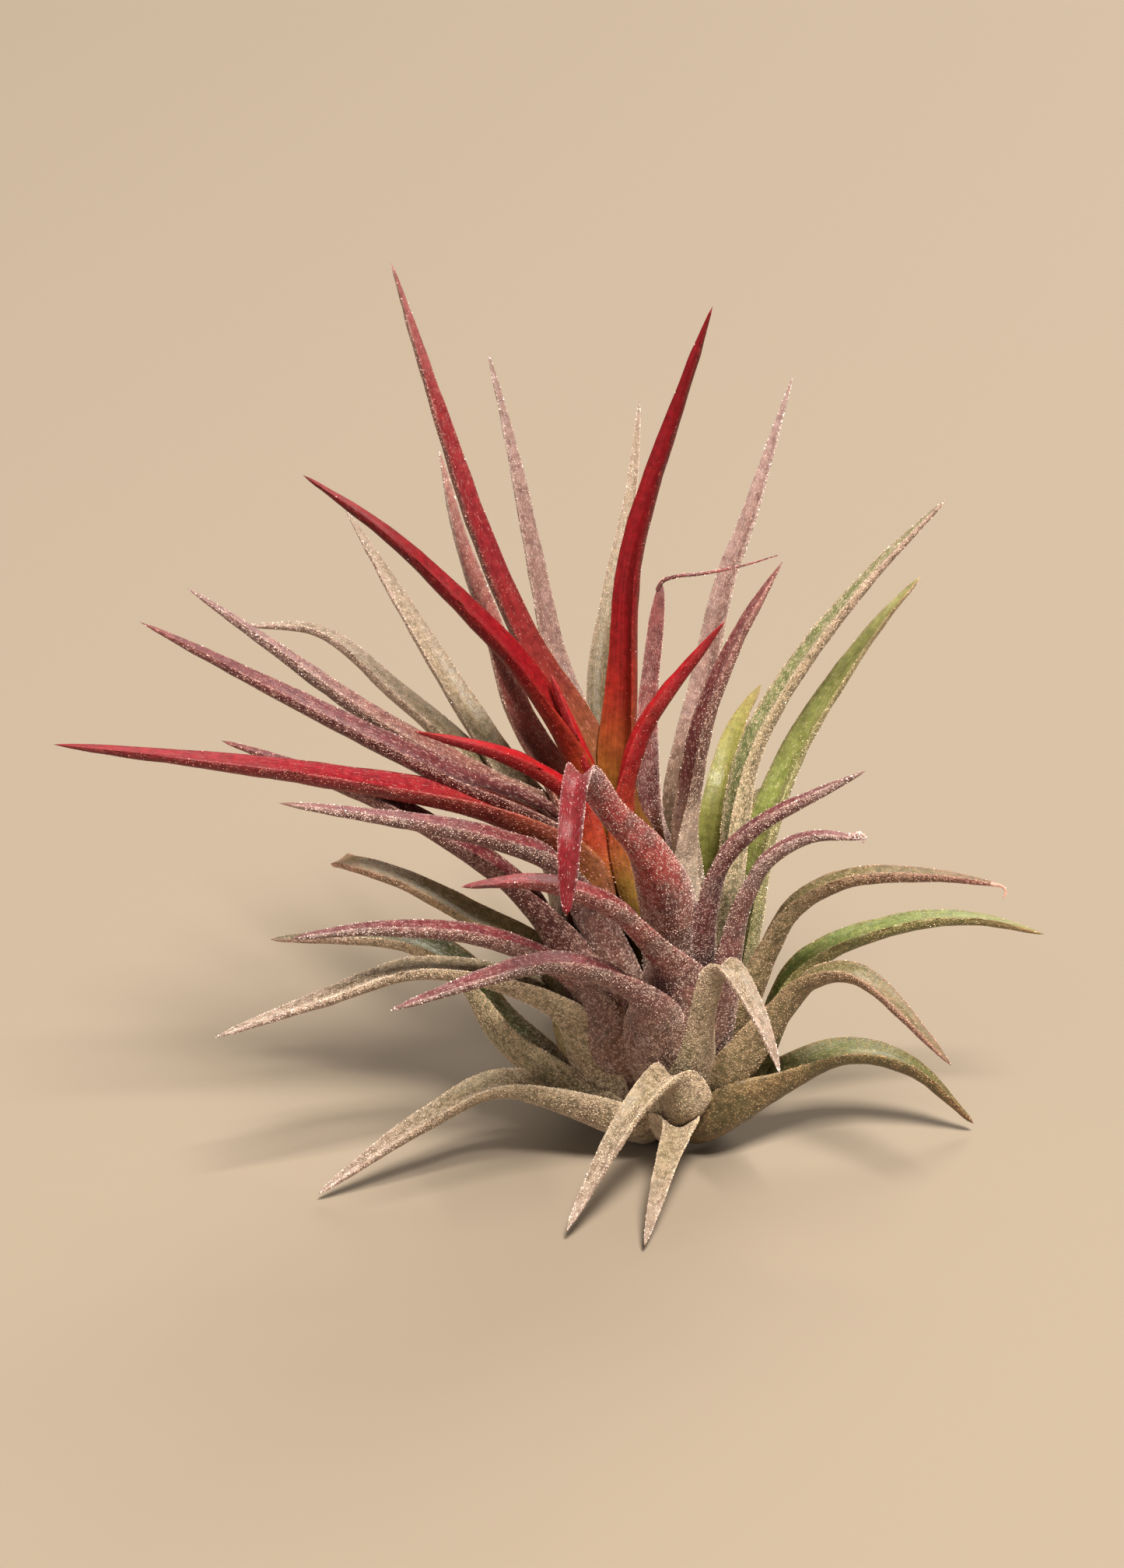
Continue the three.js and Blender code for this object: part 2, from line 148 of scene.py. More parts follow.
# Slot, finish, turn of the root in degrees, its height, blade width, then points on the way to the tip
leafRows = {
    "outer": [
        ["silver", "silver", 274, 0.8, 1.6, [[0.4, -9.6, 4.6], [-0.6, -14, 3.9], [-2.3, -19.6, 0.7]]],
        ["silver", "silver", 240, 0.9, 2.1, [[-12.5, -7.5, 7], [-17.7, -9.4, 5.4], [-26, -12.2, 0.7]]],
        ["olive", "oliveBrown", 305, 0.9, 2.4, [[12.6, -2.6, 7], [17.6, -2.2, 5.8], [22.8, -2, 0.8]]],
        ["olive", "oliveBrown", 78, 1.0, 2.1, [[3, 12.5, 6], [5, 22, 0.7]]],
        ["olive", "oliveBrown", 108, 1.2, 2.1, [[-4.6, 12.5, 6.5], [-7.5, 21, 0.7]]],
        ["olive", "silverGreen", 212, 1.8, 3.0, [[-12.4, -1.8, 8.4], [-15.8, -0.1, 12.8], [-19.8, 0.6, 14.8],
          [-30, 2.2, 14.2]]],
        ["silver", "silver", 276, 1.6, 1.75, [[0.8, -8.6, 6.2], [-0.3, -10, 9.2], [-2.9, -13.2, 8.1],
          [-7.9, -18, 0.9]]],
        ["olive", "oliveGreen", 345, 2.0, 1.8, [[9.9, -1.2, 13.7], [16.9, 0.1, 16.4], [22.4, 0.7, 16.6],
          [27.7, 0.7, 15.4]]],
        ["olive", "oliveBrown", 92, 2.2, 2.3, [[-1.6, 8.6, 10], [-2.6, 16, 14], [-3.4, 28, 12]]],
        ["silver", "silver", 225, 2.6, 2.1, [[-8.2, -6.6, 13], [-18, -8.8, 17.3], [-25.7, -11.2, 16],
          [-33.1, -13.3, 14.2]]],
        ["silver", "duskyGreen", 312, 2.8, 2.0, [[7.9, -6.2, 12.6], [10, -7.6, 15.9], [13.1, -9.4, 17.1],
          [19.7, -14.1, 12.4]]],
    ],
    "middle": [
        ["silver", "silver", 292, 3.0, 2.0, [[2.2, -9.2, 14.6], [3.5, -11, 18.6], [5.6, -13.6, 16.4],
          [7.3, -16.5, 13.1]]],
        ["olive", "oliveBrown", 66, 3.2, 2.2, [[2.6, 8.4, 13], [4.6, 14, 17], [7.5, 23, 17]]],
        ["olive", "oliveBrown", 116, 3.6, 2.2, [[-5.4, 7.6, 13], [-7, 13, 17.5], [-11, 22, 17]]],
        ["plum", "paintedBounceLightGreen", 218, 3.8, 2.1, [[-9, -4.4, 15.2], [-15.1, -3.4, 19], [-20, -2.7, 21.5],
          [-23.9, -1.7, 22.4], [-24.6, 2.4, 20.5]]],
        ["plum", "plumSilver", 238, 4.0, 1.8, [[-6.7, -7.3, 15.1], [-9.8, -8.4, 18.1], [-14.7, -10.1, 20.8],
          [-21.5, -12.2, 22.3], [-27.4, -14.7, 22.9]]],
        ["silver", "duskyGreen", 326, 4.2, 1.7, [[7.1, -4.9, 17.5], [8.9, -5.1, 20.7], [12.7, -5.7, 23.1],
          [18.3, -6.6, 23.8], [23.5, -7.7, 23.6]]],
        ["plum", "plumSilver", 270, 4.4, 2.05, [[-2, -10.6, 15.4], [-4.7, -12.6, 18.7], [-9.2, -15.1, 21],
          [-20.2, -20.4, 20.2]]],
        ["plum", "plumSilver", 314, 5.0, 1.9, [[4.4, -7.2, 19.9], [5.1, -8, 22.9], [6.6, -8.7, 26.2],
          [9.6, -9.1, 28.1], [13.4, -10, 28.4]]],
        ["plum", "maroon", 244, 5.2, 2.2, [[-9.9, -5.4, 20.4], [-18.5, -5.7, 27.7], [-25.5, -5, 30.9],
          [-32.6, -4.3, 33.5]]],
        ["plum", "rosy", 284, 5.4, 2.9, [[-0.2, -9.2, 17], [-1.9, -11.3, 20.8], [-4.9, -13.6, 24.9],
          [-10, -15.5, 27.6], [-15.2, -17.6, 28.4]]],
        ["olive", "limeWithPaintedGlow", 40, 5.6, 2.3, [[3.2, 6, 20], [3.8, 8, 24], [5, 12, 27], [7, 16, 29]]],
        ["olive", "green", 20, 5.8, 2.1, [[6.8, 3.2, 22], [9.3, 6, 28], [12, 8.1, 32], [15.4, 10.7, 36.1],
          [18.6, 12.8, 39.2]]],
        ["olive", "greyGreen", 98, 6.2, 1.5, [[-4.6, 5.6, 23], [-5.4, 11.4, 31], [-4.4, 16.7, 36],
          [-2.9, 22.7, 41.9], [-2.2, 28.5, 47.4]]],
    ],
    "upper": [
        ["plum", "plumSilver", 318, 6.6, 1.7, [[2.4, -5.8, 20.6], [3.4, -6.6, 25], [5.9, -7.4, 28.2],
          [13.3, -8.8, 33.2]]],
        ["plum", "plumSilver", 252, 7.0, 2.0, [[-8.4, -6.8, 24.5], [-12.4, -8.4, 27.3], [-16.9, -10.2, 29.4],
          [-22.1, -11.8, 31.1], [-28, -13.3, 32.8]]],
        ["olive", "greyGreen", 150, 7.4, 1.9, [[-9.4, 1.8, 22.4], [-14, 3.3, 27.5], [-20.6, 6.5, 32.5],
          [-26.1, 9.7, 35.9], [-32.1, 11.2, 35.9]]],
        ["olive", "greyGreen", 136, 7.8, 1.9, [[-9.3, 2.6, 22.6], [-12.8, 3.9, 27.8], [-17.7, 8.4, 34.3],
          [-24.5, 17.6, 42.6]]],
        ["plum", "roseStrap", 300, 8.0, 2.1, [[0, -6.4, 19.6], [-2.2, -9.8, 26.9], [-5, -12.4, 31.6],
          [-6.6, -16, 36], [-7.2, -20.4, 37.6], [-7.6, -24.4, 35.6], [-7.9, -26.6, 30.6]]],
        ["silver", "silverGreen", 350, 8.4, 1.9, [[4.1, -0.9, 20], [5.6, 1.6, 29.4], [9, 3.3, 35.6],
          [14.1, 5.2, 42], [19.7, 6.8, 47.7]]],
        ["crimson", "redSpeckled", 226, 8.8, 2.4, [[-7.4, -3.7, 23.6], [-12.4, -4.4, 27.6],
          [-25.2, -6.8, 31.7], [-44.1, -8.9, 35.3]]],
        ["plum", "maroon", 206, 9.2, 2.3, [[-7.6, -2, 24], [-16.6, -3.1, 30.1], [-22.8, -3.7, 33.8],
          [-38.4, -1.6, 41.6]]],
        ["plum", "plumGrey", 180, 9.6, 1.9, [[-8, 0, 24], [-14, -0.3, 28.3], [-22.6, -0.8, 34.2],
          [-30.2, 0.4, 39.6], [-35.1, 1.2, 43]]],
        ["plum", "blush", 30, 10.0, 1.6, [[0.9, 3, 25], [2.7, 8.3, 34], [4.1, 11.7, 39.2], [5.9, 14.4, 43.5],
          [9.1, 20, 52.4]]],
        ["plum", "maroonPaintedHighlightRoot", 330, 10.4, 1.95, [[0.7, -3.7, 23.4], [1.3, -4.1, 30.3],
          [2.3, -4, 35.6], [4.4, -3, 40.9], [7.5, -1.6, 46.3]]],
        ["plum", "blush", 112, 11.0, 1.45, [[-6.3, 3.4, 29], [-8.8, 7, 35], [-10.5, 10.8, 42.2],
          [-12, 14, 48.9], [-13.7, 17.1, 55.4]]],
    ],
    "inner": [
        ["plum", "rosePaintedLight", 160, 11.4, 1.8, [[-7.6, 1.2, 25], [-11.6, 4.5, 31.8], [-13.3, 7.2, 36.8],
          [-15.7, 10, 43], [-17.3, 12.8, 49.3]]],
        ["olive", "greyGreen", 80, 11.8, 1.8, [[-3.6, 3.6, 24], [-4, 8, 28], [-3.6, 14, 33], [-3.4, 20, 34]]],
        ["plum", "rosyGrey", 20, 12.4, 1.7, [[-1.6, 1.4, 25], [-1.9, 3.5, 29.8], [-1.7, 5.3, 33.3],
          [-0.9, 7.9, 40.7]]],
        ["crimson", "deepCrimson", 220, 12.8, 2.1, [[-5.9, -1, 27], [-10.6, -0.7, 36.7], [-15, -0.4, 41.9],
          [-20.8, 1.4, 47.1], [-26.7, 2.8, 51.1]]],
        ["crimson", "crimson", 236, 13.4, 1.6, [[-6.8, -2.7, 27.4], [-10.3, -3.9, 31], [-12.6, -4.6, 32.5],
          [-18.7, -5.8, 34.9]]],
        ["crimson", "crimsonPaintedLitTip", 150, 14.0, 1.7, [[-5.5, 0.6, 28], [-11, 2.6, 38.3], [-14.3, 4.9, 45.8],
          [-17.5, 8, 55], [-20.5, 11.2, 64.2]]],
        ["crimson", "crimson", 290, 14.6, 1.6, [[-3.7, -2.7, 27], [-2.8, -3, 32.3], [-1.4, -3.2, 35.5],
          [3.4, -2.5, 42]]],
        ["crimson", "deepCrimson", 50, 15.2, 1.85, [[-3.6, 0, 27], [-3.5, 2.1, 36], [-3.1, 4.1, 43.5],
          [-1.8, 5.5, 48.7], [-0.1, 6.9, 53.7], [2.6, 8.9, 61.7]]],
        ["crimson", "crimson", 300, 16.0, 1.3, [[-5.4, -1.2, 27], [-6.7, -1.7, 30.8], [-9, -0.4, 36.9]]],
    ],
}


# How some leaves end: blunt is the tip's width in blade widths, channelDepth multiplies the channel's depth
# there, and a thread's points follow its leaf's tip
leafEnds = {
    "upper_leaf_05": {"blunt": 0.85, "channelDepth": 3.2},
    "middle_leaf_04": {"blunt": 0.8},
    "inner_leaf_03": {"blunt": 0.75, "thread": [
        [-1.2, 7.7, 40.2], [-0.8, 7.7, 40.9], [0.1, 7.6, 41.3],
        [2.2, 7.5, 41.6], [5, 7.5, 42.2], [7.6, 7.6, 43],
    ]},
    "middle_leaf_06": {"thread": [
        [22.6, -7.6, 23.7], [23.5, -7.7, 23.5], [23.7, -7.9, 23.2], [23.5, -8.1, 22.8],
    ]},
    "middle_leaf_08": {"thread": [
        [12.2, -9.7, 28.5], [12.9, -9.8, 28.8], [13.3, -9.9, 28.5], [13.1, -10, 28],
    ]},
}


def stemRadius(height):
    form = stemForm
    waist = form["waistHeight"]
    if height < waist:
        return form["baseRadius"] + (form["waistRadius"] - form["baseRadius"]) * height / waist
    share = (height - waist) / (form["height"] - waist)
    return form["waistRadius"] + (form["topRadius"] - form["waistRadius"]) * share


def besideStem(turn, distance, height):
    return Vector((
        stemForm["lean"] * height + distance * math.cos(turn),
        distance * math.sin(turn),
        height,
    ))


def addSpline(curve, points):
    # Smooth line through the points, with handles for an even flow between points near and far
    path = [2 * points[0] - points[1]] + points + [2 * points[-1] - points[-2]]
    steps = [(b - a).length ** 0.5 for a, b in zip(path, path[1:])]
    spline = curve.splines.new("BEZIER")
    spline.bezier_points.add(len(points) - 1)
    for i, knot in enumerate(spline.bezier_points):
        before, here, after = path[i:i + 3]
        back, ahead = steps[i:i + 2]
        flow = (here - before) / back - (after - before) / (back + ahead) + (after - here) / ahead
        knot.handle_left_type = knot.handle_right_type = "FREE"
        knot.co = here * mm
        knot.handle_left = (here - flow * back / 3) * mm
        knot.handle_right = (here + flow * ahead / 3) * mm


def growthLines(name, zone, rootTurn, rootHeight, points, threadPoints):
    # The leaf's mid-line, and after it the thread that its tip ends in
    rootDistance = stemRadius(rootHeight) + leafForm["rootClearance"]
    sheath = sheaths[zone]
    root = besideStem(rootTurn, rootDistance, rootHeight)
    swollen = besideStem(rootTurn, rootDistance + sheath["swell"], rootHeight + sheath["rise"])
    curve = bpy.data.curves.new(name, "CURVE")
    curve.dimensions = "3D"
    curve.resolution_u = leafForm["curveSteps"]
    addSpline(curve, [root, swollen] + [Vector(p) for p in points])
    if threadPoints:
        addSpline(curve, [Vector(p) for p in threadPoints])
    return bpy.data.objects.new(name, curve)


def setCurve(node, points, top):
    # A Float Curve runs from 0 to 1, so values are shares of top
    curve = node.mapping.curves[0]
    while len(curve.points) < len(points):
        curve.points.new(0.5, 0.5)
    for knot, (place, value) in zip(curve.points, points):
        knot.location = (place, value / top)
        knot.handle_type = "AUTO_CLAMPED"
    node.mapping.update()


# Inputs of the leaf's tree, by kind
leafInputs = {
    "NodeSocketFloat": [
        "Root Turn", "Blade Width", "Sheath Share", "Blunt", "Channel Depth", "Tone",
        "Root Scales", "Blade Scales", "Tip Scales", "Channel Scales",
    ],
    "NodeSocketInt": ["Seed"],
    "NodeSocketMaterial": ["Skin", "Scale Skin"],
}

# The map that a leaf's patterns are baked through, where each part of the leaf has its own height
bakeMap = {
    "blade": 0.88,  # top of the blade
    "thread": 0.9,  # foot of the thread
    "scales": 0.96,  # middle of the scales
    "strip": 0.02,  # the thread's height, and half the scales' height
    "scaleLength": 0.006,
    "scalePlaces": (0.02, 0.98),  # from the root to the tip
}


def storeMarks(tree, geometry, marks):
    # marks: name, value, kind and domain of each attribute that the materials or the baking read
    for name, value, kind, domain in marks:
        geometry = addNode(tree, "GeometryNodeStoreNamedAttribute", {
            "Geometry": geometry, "Name": name, "Value": value,
        }, data_type=kind, domain=domain).outputs[0]
    return geometry


def sideAndInward(tree, line, place, rootTurn):
    # Across the leaf, and inward to its channel: the blade turns from the root's direction to its own
    form = leafForm
    onLine = addNode(tree, "GeometryNodeSampleCurve", {"Curves": line, "Factor": place}, mode="FACTOR")
    forward = onLine.outputs["Tangent"]
    tip = addNode(tree, "GeometryNodeSampleCurve", {"Curves": line, "Factor": 1.0}, mode="FACTOR")
    blade = addNode(tree, "GeometryNodeSampleCurve", {
        "Curves": line, "Factor": form["bladeBase"],
    }, mode="FACTOR")
    reach = addNode(tree, "ShaderNodeSeparateXYZ", {0: addNode(tree, "ShaderNodeVectorMath", {
        0: tip.outputs["Position"], 1: blade.outputs["Position"],
    }, operation="SUBTRACT").outputs[0]})
    bladeTurn = addNode(tree, "ShaderNodeMath", {
        0: reach.outputs["Y"], 1: reach.outputs["X"],
    }, operation="ARCTAN2").outputs[0]
    change = addNode(tree, "ShaderNodeMath", {0: bladeTurn, 1: rootTurn}, operation="SUBTRACT").outputs[0]
    shortWay = addNode(tree, "ShaderNodeMath", {
        0: change, 1: math.pi, 2: -math.pi,
    }, operation="WRAP").outputs[0]
    lastTurn = addNode(tree, "ShaderNodeMath", {0: rootTurn, 1: shortWay}, operation="ADD").outputs[0]
    turn = addNode(tree, "ShaderNodeMapRange", {
        "Value": place, **span("From", form["turned"]), **span("To", (rootTurn, lastTurn)),
    }, interpolation_type="SMOOTHSTEP").outputs[0]
    turnSine = addNode(tree, "ShaderNodeMath", {0: turn}, operation="SINE").outputs[0]
    level = addNode(tree, "ShaderNodeCombineXYZ", {
        "X": addNode(tree, "ShaderNodeMath", {0: turnSine, 1: -1}, operation="MULTIPLY").outputs[0],
        "Y": addNode(tree, "ShaderNodeMath", {0: turn}, operation="COSINE").outputs[0],
    }).outputs[0]
    slope = addNode(tree, "ShaderNodeVectorMath", {
        0: level, 1: forward,
    }, operation="DOT_PRODUCT").outputs["Value"]
    leaning = addNode(tree, "ShaderNodeVectorMath", {
        0: forward, "Scale": slope,
    }, operation="SCALE").outputs[0]
    square = addNode(tree, "ShaderNodeVectorMath", {0: level, 1: leaning}, operation="SUBTRACT").outputs[0]
    across = addNode(tree, "ShaderNodeVectorMath", {0: square}, operation="NORMALIZE").outputs[0]
    inward = addNode(tree, "ShaderNodeVectorMath", {
        0: forward, 1: across,
    }, operation="CROSS_PRODUCT").outputs[0]
    return onLine.outputs["Position"], across, inward


def bladeSizes(tree, given, place, closed):
    # Half the width, the thickness and the channel's depth at a place on the leaf
    form = leafForm
    shares = {}
    for name, top in {"width": form["maxWidth"], "thickness": form["maxThickness"], "channel": 1}.items():
        curve = addNode(tree, "ShaderNodeFloatCurve", {"Value": place})
        setCurve(curve, form[name], top)
        shares[name] = addNode(tree, "ShaderNodeMath", {
            0: curve.outputs[0], 1: top,
        }, operation="MULTIPLY").outputs[0]
    tipPlace = addNode(tree, "ShaderNodeMapRange", {"Value": place, "From Min": form["bluntFrom"]}).outputs[0]
    tipSquare = addNode(tree, "ShaderNodeMath", {0: tipPlace, 1: 2}, operation="POWER").outputs[0]
    roundTip = addNode(tree, "ShaderNodeMath", {
        0: addNode(tree, "ShaderNodeMath", {0: 1, 1: tipSquare}, operation="SUBTRACT").outputs[0],
    }, operation="SQRT").outputs[0]
    bluntWidth = addNode(tree, "ShaderNodeMath", {
        0: roundTip, 1: given["Blunt"],
    }, operation="MULTIPLY").outputs[0]
    bluntDepth = addNode(tree, "ShaderNodeMath", {
        0: bluntWidth, 1: form["bluntThickness"],
    }, operation="MULTIPLY").outputs[0]
    opened = addNode(tree, "ShaderNodeMapRange", {
        "Value": place, **span("From", (0, form["sheathEnd"])), **span("To", (given["Sheath Share"], 1)),
    }, interpolation_type="SMOOTHSTEP").outputs[0]
    fullWidth = addNode(tree, "ShaderNodeMath", {
        0: given["Blade Width"], 1: opened,
    }, operation="MULTIPLY").outputs[0]
    shownWidth = addNode(tree, "ShaderNodeMath", {0: fullWidth, 1: closed}, operation="MULTIPLY").outputs[0]
    width = addNode(tree, "ShaderNodeMath", {
        0: shares["width"], 1: bluntWidth,
    }, operation="MAXIMUM").outputs[0]
    halfWidth = addNode(tree, "ShaderNodeMath", {
        0: addNode(tree, "ShaderNodeMath", {0: width, 1: 0.5}, operation="MULTIPLY").outputs[0],
        1: shownWidth,
    }, operation="MULTIPLY").outputs[0]
    thickness = addNode(tree, "ShaderNodeMath", {
        0: shares["thickness"], 1: bluntDepth,
    }, operation="MAXIMUM").outputs[0]
    thick = addNode(tree, "ShaderNodeMath", {
        0: addNode(tree, "ShaderNodeMath", {0: thickness, 1: mm}, operation="MULTIPLY").outputs[0],
        1: closed,
    }, operation="MULTIPLY").outputs[0]
    deeper = addNode(tree, "ShaderNodeMapRange", {
        "Value": place, **span("From", form["deepened"]), **span("To", (1, given["Channel Depth"])),
    }, interpolation_type="SMOOTHSTEP").outputs[0]
    channel = addNode(tree, "ShaderNodeMath", {
        0: addNode(tree, "ShaderNodeMath", {
            0: shares["channel"], 1: deeper,
        }, operation="MULTIPLY").outputs[0],
        1: shownWidth,
    }, operation="MULTIPLY").outputs[0]
    return halfWidth, thick, channel


def grownBlade(tree, given):
    # A flat sheet rolled into the leaf: X goes round it, Y from the root to the tip
    form = leafForm
    sheet = addNode(tree, "GeometryNodeMeshGrid", {
        "Size X": 1, "Size Y": 1, "Vertices X": form["around"] + 1, "Vertices Y": form["rings"],
    })
    flat = addNode(tree, "ShaderNodeSeparateXYZ", {
        0: addNode(tree, "GeometryNodeInputPosition").outputs[0],
    }).outputs
    row = addNode(tree, "ShaderNodeMath", {0: flat["Y"], 1: 0.5}, operation="ADD").outputs[0]
    girth = addNode(tree, "ShaderNodeMath", {0: flat["X"], 1: 0.5}, operation="ADD").outputs[0]
    firstRow = 1 / (form["rings"] - 1)
    place = addNode(tree, "ShaderNodeMapRange", {"Value": row, **span("From", (firstRow, 1))}).outputs[0]
    closed = addNode(tree, "ShaderNodeMapRange", {  # 0 on the first and last row, which close the ends
        "Value": addNode(tree, "ShaderNodeMath", {0: flat["Y"]}, operation="ABSOLUTE").outputs[0],
        **span("From", (0.5, 0.5 - firstRow)),
    }).outputs[0]
    middle, across, inward = sideAndInward(tree, given["Geometry"], place, given["Root Turn"])
    halfWidth, thick, channel = bladeSizes(tree, given, place, closed)

    # Section: a round back where the sine is negative, a channel where it is positive
    angle = addNode(tree, "ShaderNodeMath", {0: girth, 1: -2 * math.pi}, operation="MULTIPLY").outputs[0]
    share = addNode(tree, "ShaderNodeMath", {0: angle}, operation="COSINE").outputs[0]
    side = addNode(tree, "ShaderNodeMath", {0: angle}, operation="SINE").outputs[0]
    inner = addNode(tree, "ShaderNodeMath", {0: side, 1: 0.0}, operation="GREATER_THAN").outputs[0]
    squared = addNode(tree, "ShaderNodeMath", {0: share, 1: share}, operation="MULTIPLY").outputs[0]
    soft = form["channelSoftness"]
    fold = addNode(tree, "ShaderNodeMath", {0: squared, 1: soft * soft}, operation="ADD").outputs[0]
    foldRoot = addNode(tree, "ShaderNodeMath", {0: fold}, operation="SQRT").outputs[0]
    gutter = addNode(tree, "ShaderNodeMapRange", {
        "Value": foldRoot, **span("From", (soft, math.sqrt(1 + soft * soft))),
    }).outputs[0]
    profile = addNode(tree, "ShaderNodeMix", {"Factor": inner, "A": squared, "B": gutter}).outputs[0]
    raised = addNode(tree, "ShaderNodeMath", {0: profile, 1: 0.5}, operation="SUBTRACT").outputs[0]
    bowed = addNode(tree, "ShaderNodeMath", {0: raised, 1: channel}, operation="MULTIPLY").outputs[0]
    backDepth = addNode(tree, "ShaderNodeMath", {0: side, 1: 0.0}, operation="MINIMUM").outputs[0]
    depth = addNode(tree, "ShaderNodeMath", {0: backDepth, 1: 0.5}, operation="ADD").outputs[0]
    lift = addNode(tree, "ShaderNodeMath", {
        0: depth, 1: thick, 2: bowed,
    }, operation="MULTIPLY_ADD").outputs[0]
    sideways = addNode(tree, "ShaderNodeMath", {0: share, 1: halfWidth}, operation="MULTIPLY").outputs[0]
    offset = addNode(tree, "ShaderNodeVectorMath", {
        0: addNode(tree, "ShaderNodeVectorMath", {
            0: across, "Scale": sideways,
        }, operation="SCALE").outputs[0],
        1: addNode(tree, "ShaderNodeVectorMath", {0: inward, "Scale": lift}, operation="SCALE").outputs[0],
    }, operation="ADD").outputs[0]
    target = addNode(tree, "ShaderNodeVectorMath", {0: middle, 1: offset}, operation="ADD").outputs[0]

    onLeaf = addNode(tree, "ShaderNodeCombineXYZ", {"X": share, "Y": side, "Z": place}).outputs[0]
    bakeRow = addNode(tree, "ShaderNodeMath", {0: row, 1: bakeMap["blade"]}, operation="MULTIPLY").outputs[0]
    bakePlace = addNode(tree, "ShaderNodeCombineXYZ", {"X": girth, "Y": bakeRow}).outputs[0]
    marked = storeMarks(tree, sheet.outputs["Mesh"], [
        ("onLeaf", onLeaf, "FLOAT_VECTOR", "CORNER"),
        ("OFBake", bakePlace, "FLOAT2", "CORNER"),
    ])
    shaped = addNode(tree, "GeometryNodeSetPosition", {"Geometry": marked, "Position": target}).outputs[0]
    sealed = addNode(tree, "GeometryNodeMergeByDistance", {
        "Geometry": shaped, "Distance": form["weld"] * mm,
    }).outputs[0]

    # Slight unevenness of the skin
    waves = addNode(tree, "ShaderNodeTexNoise", {
        "Scale": 1 / (form["unevenEvery"] * mm), "Detail": 1.0,
    }).outputs[0]
    centred = addNode(tree, "ShaderNodeMath", {0: waves, 1: 0.5}, operation="SUBTRACT").outputs[0]
    swell = addNode(tree, "ShaderNodeMath", {
        0: centred, 1: form["unevenness"] * mm * 2,
    }, operation="MULTIPLY").outputs[0]
    uneven = addNode(tree, "ShaderNodeVectorMath", {
        0: addNode(tree, "GeometryNodeInputNormal").outputs[0], "Scale": swell,
    }, operation="SCALE").outputs[0]
    return addNode(tree, "GeometryNodeSetPosition", {"Geometry": sealed, "Offset": uneven}).outputs[0]


threadForm = {
    "radius": 0.17,
    "endShare": 0.25,  # of the radius, at the thread's end
    "sides": 8,
    "onLeaf": (0.8, 0, 0.95),  # it has the look of the leaf's rim near the tip
}


def dryThread(tree, given):
    # The second line of the host is the thread: a tapering round hair
    form = threadForm
    later = addNode(tree, "GeometryNodeInputIndex").outputs[0]
    line = addNode(tree, "GeometryNodeSeparateGeometry", {
        "Geometry": given["Geometry"], "Selection": later,
    }, domain="CURVE").outputs[0]
    placeOn = addNode(tree, "GeometryNodeSplineParameter").outputs["Factor"]
    markedLine = storeMarks(tree, line, [("threadPlace", placeOn, "FLOAT", "POINT")])
    ring = addNode(tree, "GeometryNodeCurvePrimitiveCircle", {"Resolution": form["sides"], "Radius": 1})
    markedRing = storeMarks(tree, ring.outputs[0], [("threadRound", placeOn, "FLOAT", "POINT")])
    radius = addNode(tree, "ShaderNodeMapRange", {
        "Value": placeOn, **span("To", (form["radius"] * mm, form["radius"] * mm * form["endShare"])),
    }).outputs[0]
    tube = addNode(tree, "GeometryNodeCurveToMesh", {
        "Curve": markedLine, "Profile Curve": markedRing, "Scale": radius, "Fill Caps": True,
    }).outputs[0]
    place, girth = [
        addNode(tree, "GeometryNodeInputNamedAttribute", {"Name": name}, data_type="FLOAT").outputs[0]
        for name in ("threadPlace", "threadRound")
    ]
    bakeRow = addNode(tree, "ShaderNodeMath", {
        0: girth, 1: bakeMap["strip"], 2: bakeMap["thread"],
    }, operation="MULTIPLY_ADD").outputs[0]
    bakePlace = addNode(tree, "ShaderNodeCombineXYZ", {"X": place, "Y": bakeRow}).outputs[0]
    return storeMarks(tree, tube, [
        ("onLeaf", form["onLeaf"], "FLOAT_VECTOR", "CORNER"),
        ("OFBake", bakePlace, "FLOAT2", "CORNER"),
    ])


scaleForm = {
    "radius": 0.062,
    "height": 1.4,  # in radii
    "sizes": (0.6, 1.35),  # the smallest and the largest, in radii
    "leans": ((-0.3, 0.3, -0.6), (0.3, 1.1, 0.6)),  # least and most turn in radians, Y toward the tip
    "sheathToBlade": (0.12, 0.4),  # the scales change from the sheath's to the blade's here
    "bladeToTip": (0.62, 0.92),
    "hiddenRoot": (0.05, 0.2),  # no scales before it, all of them after it
    "patchSize": 0.7,  # scales lie thicker and thinner in patches this wide
    "patchEdge": (0.38, 0.62),  # of the noise, from a thin place to a thick one
    "patchShares": (0.25, 1.5),
    "rimFrom": 0.75,  # in half widths from the mid-line
    "rimShares": (1, 3.2),  # times as many scales there, and at the very rim
    "channelEdge": (-0.1, 0.1),  # across the rim, from the back to the channel
}


def scalesAlong(tree, place, scales):
    # scales: how many lie on the sheath, on the blade and on the tip
    onSheath, onBlade, onTip = scales
    first = addNode(tree, "ShaderNodeMapRange", {
        "Value": place, **span("From", scaleForm["sheathToBlade"]), **span("To", (onSheath, onBlade)),
    }).outputs[0]
    return addNode(tree, "ShaderNodeMapRange", {
        "Value": place, **span("From", scaleForm["bladeToTip"]), **span("To", (first, onTip)),
    }).outputs[0]


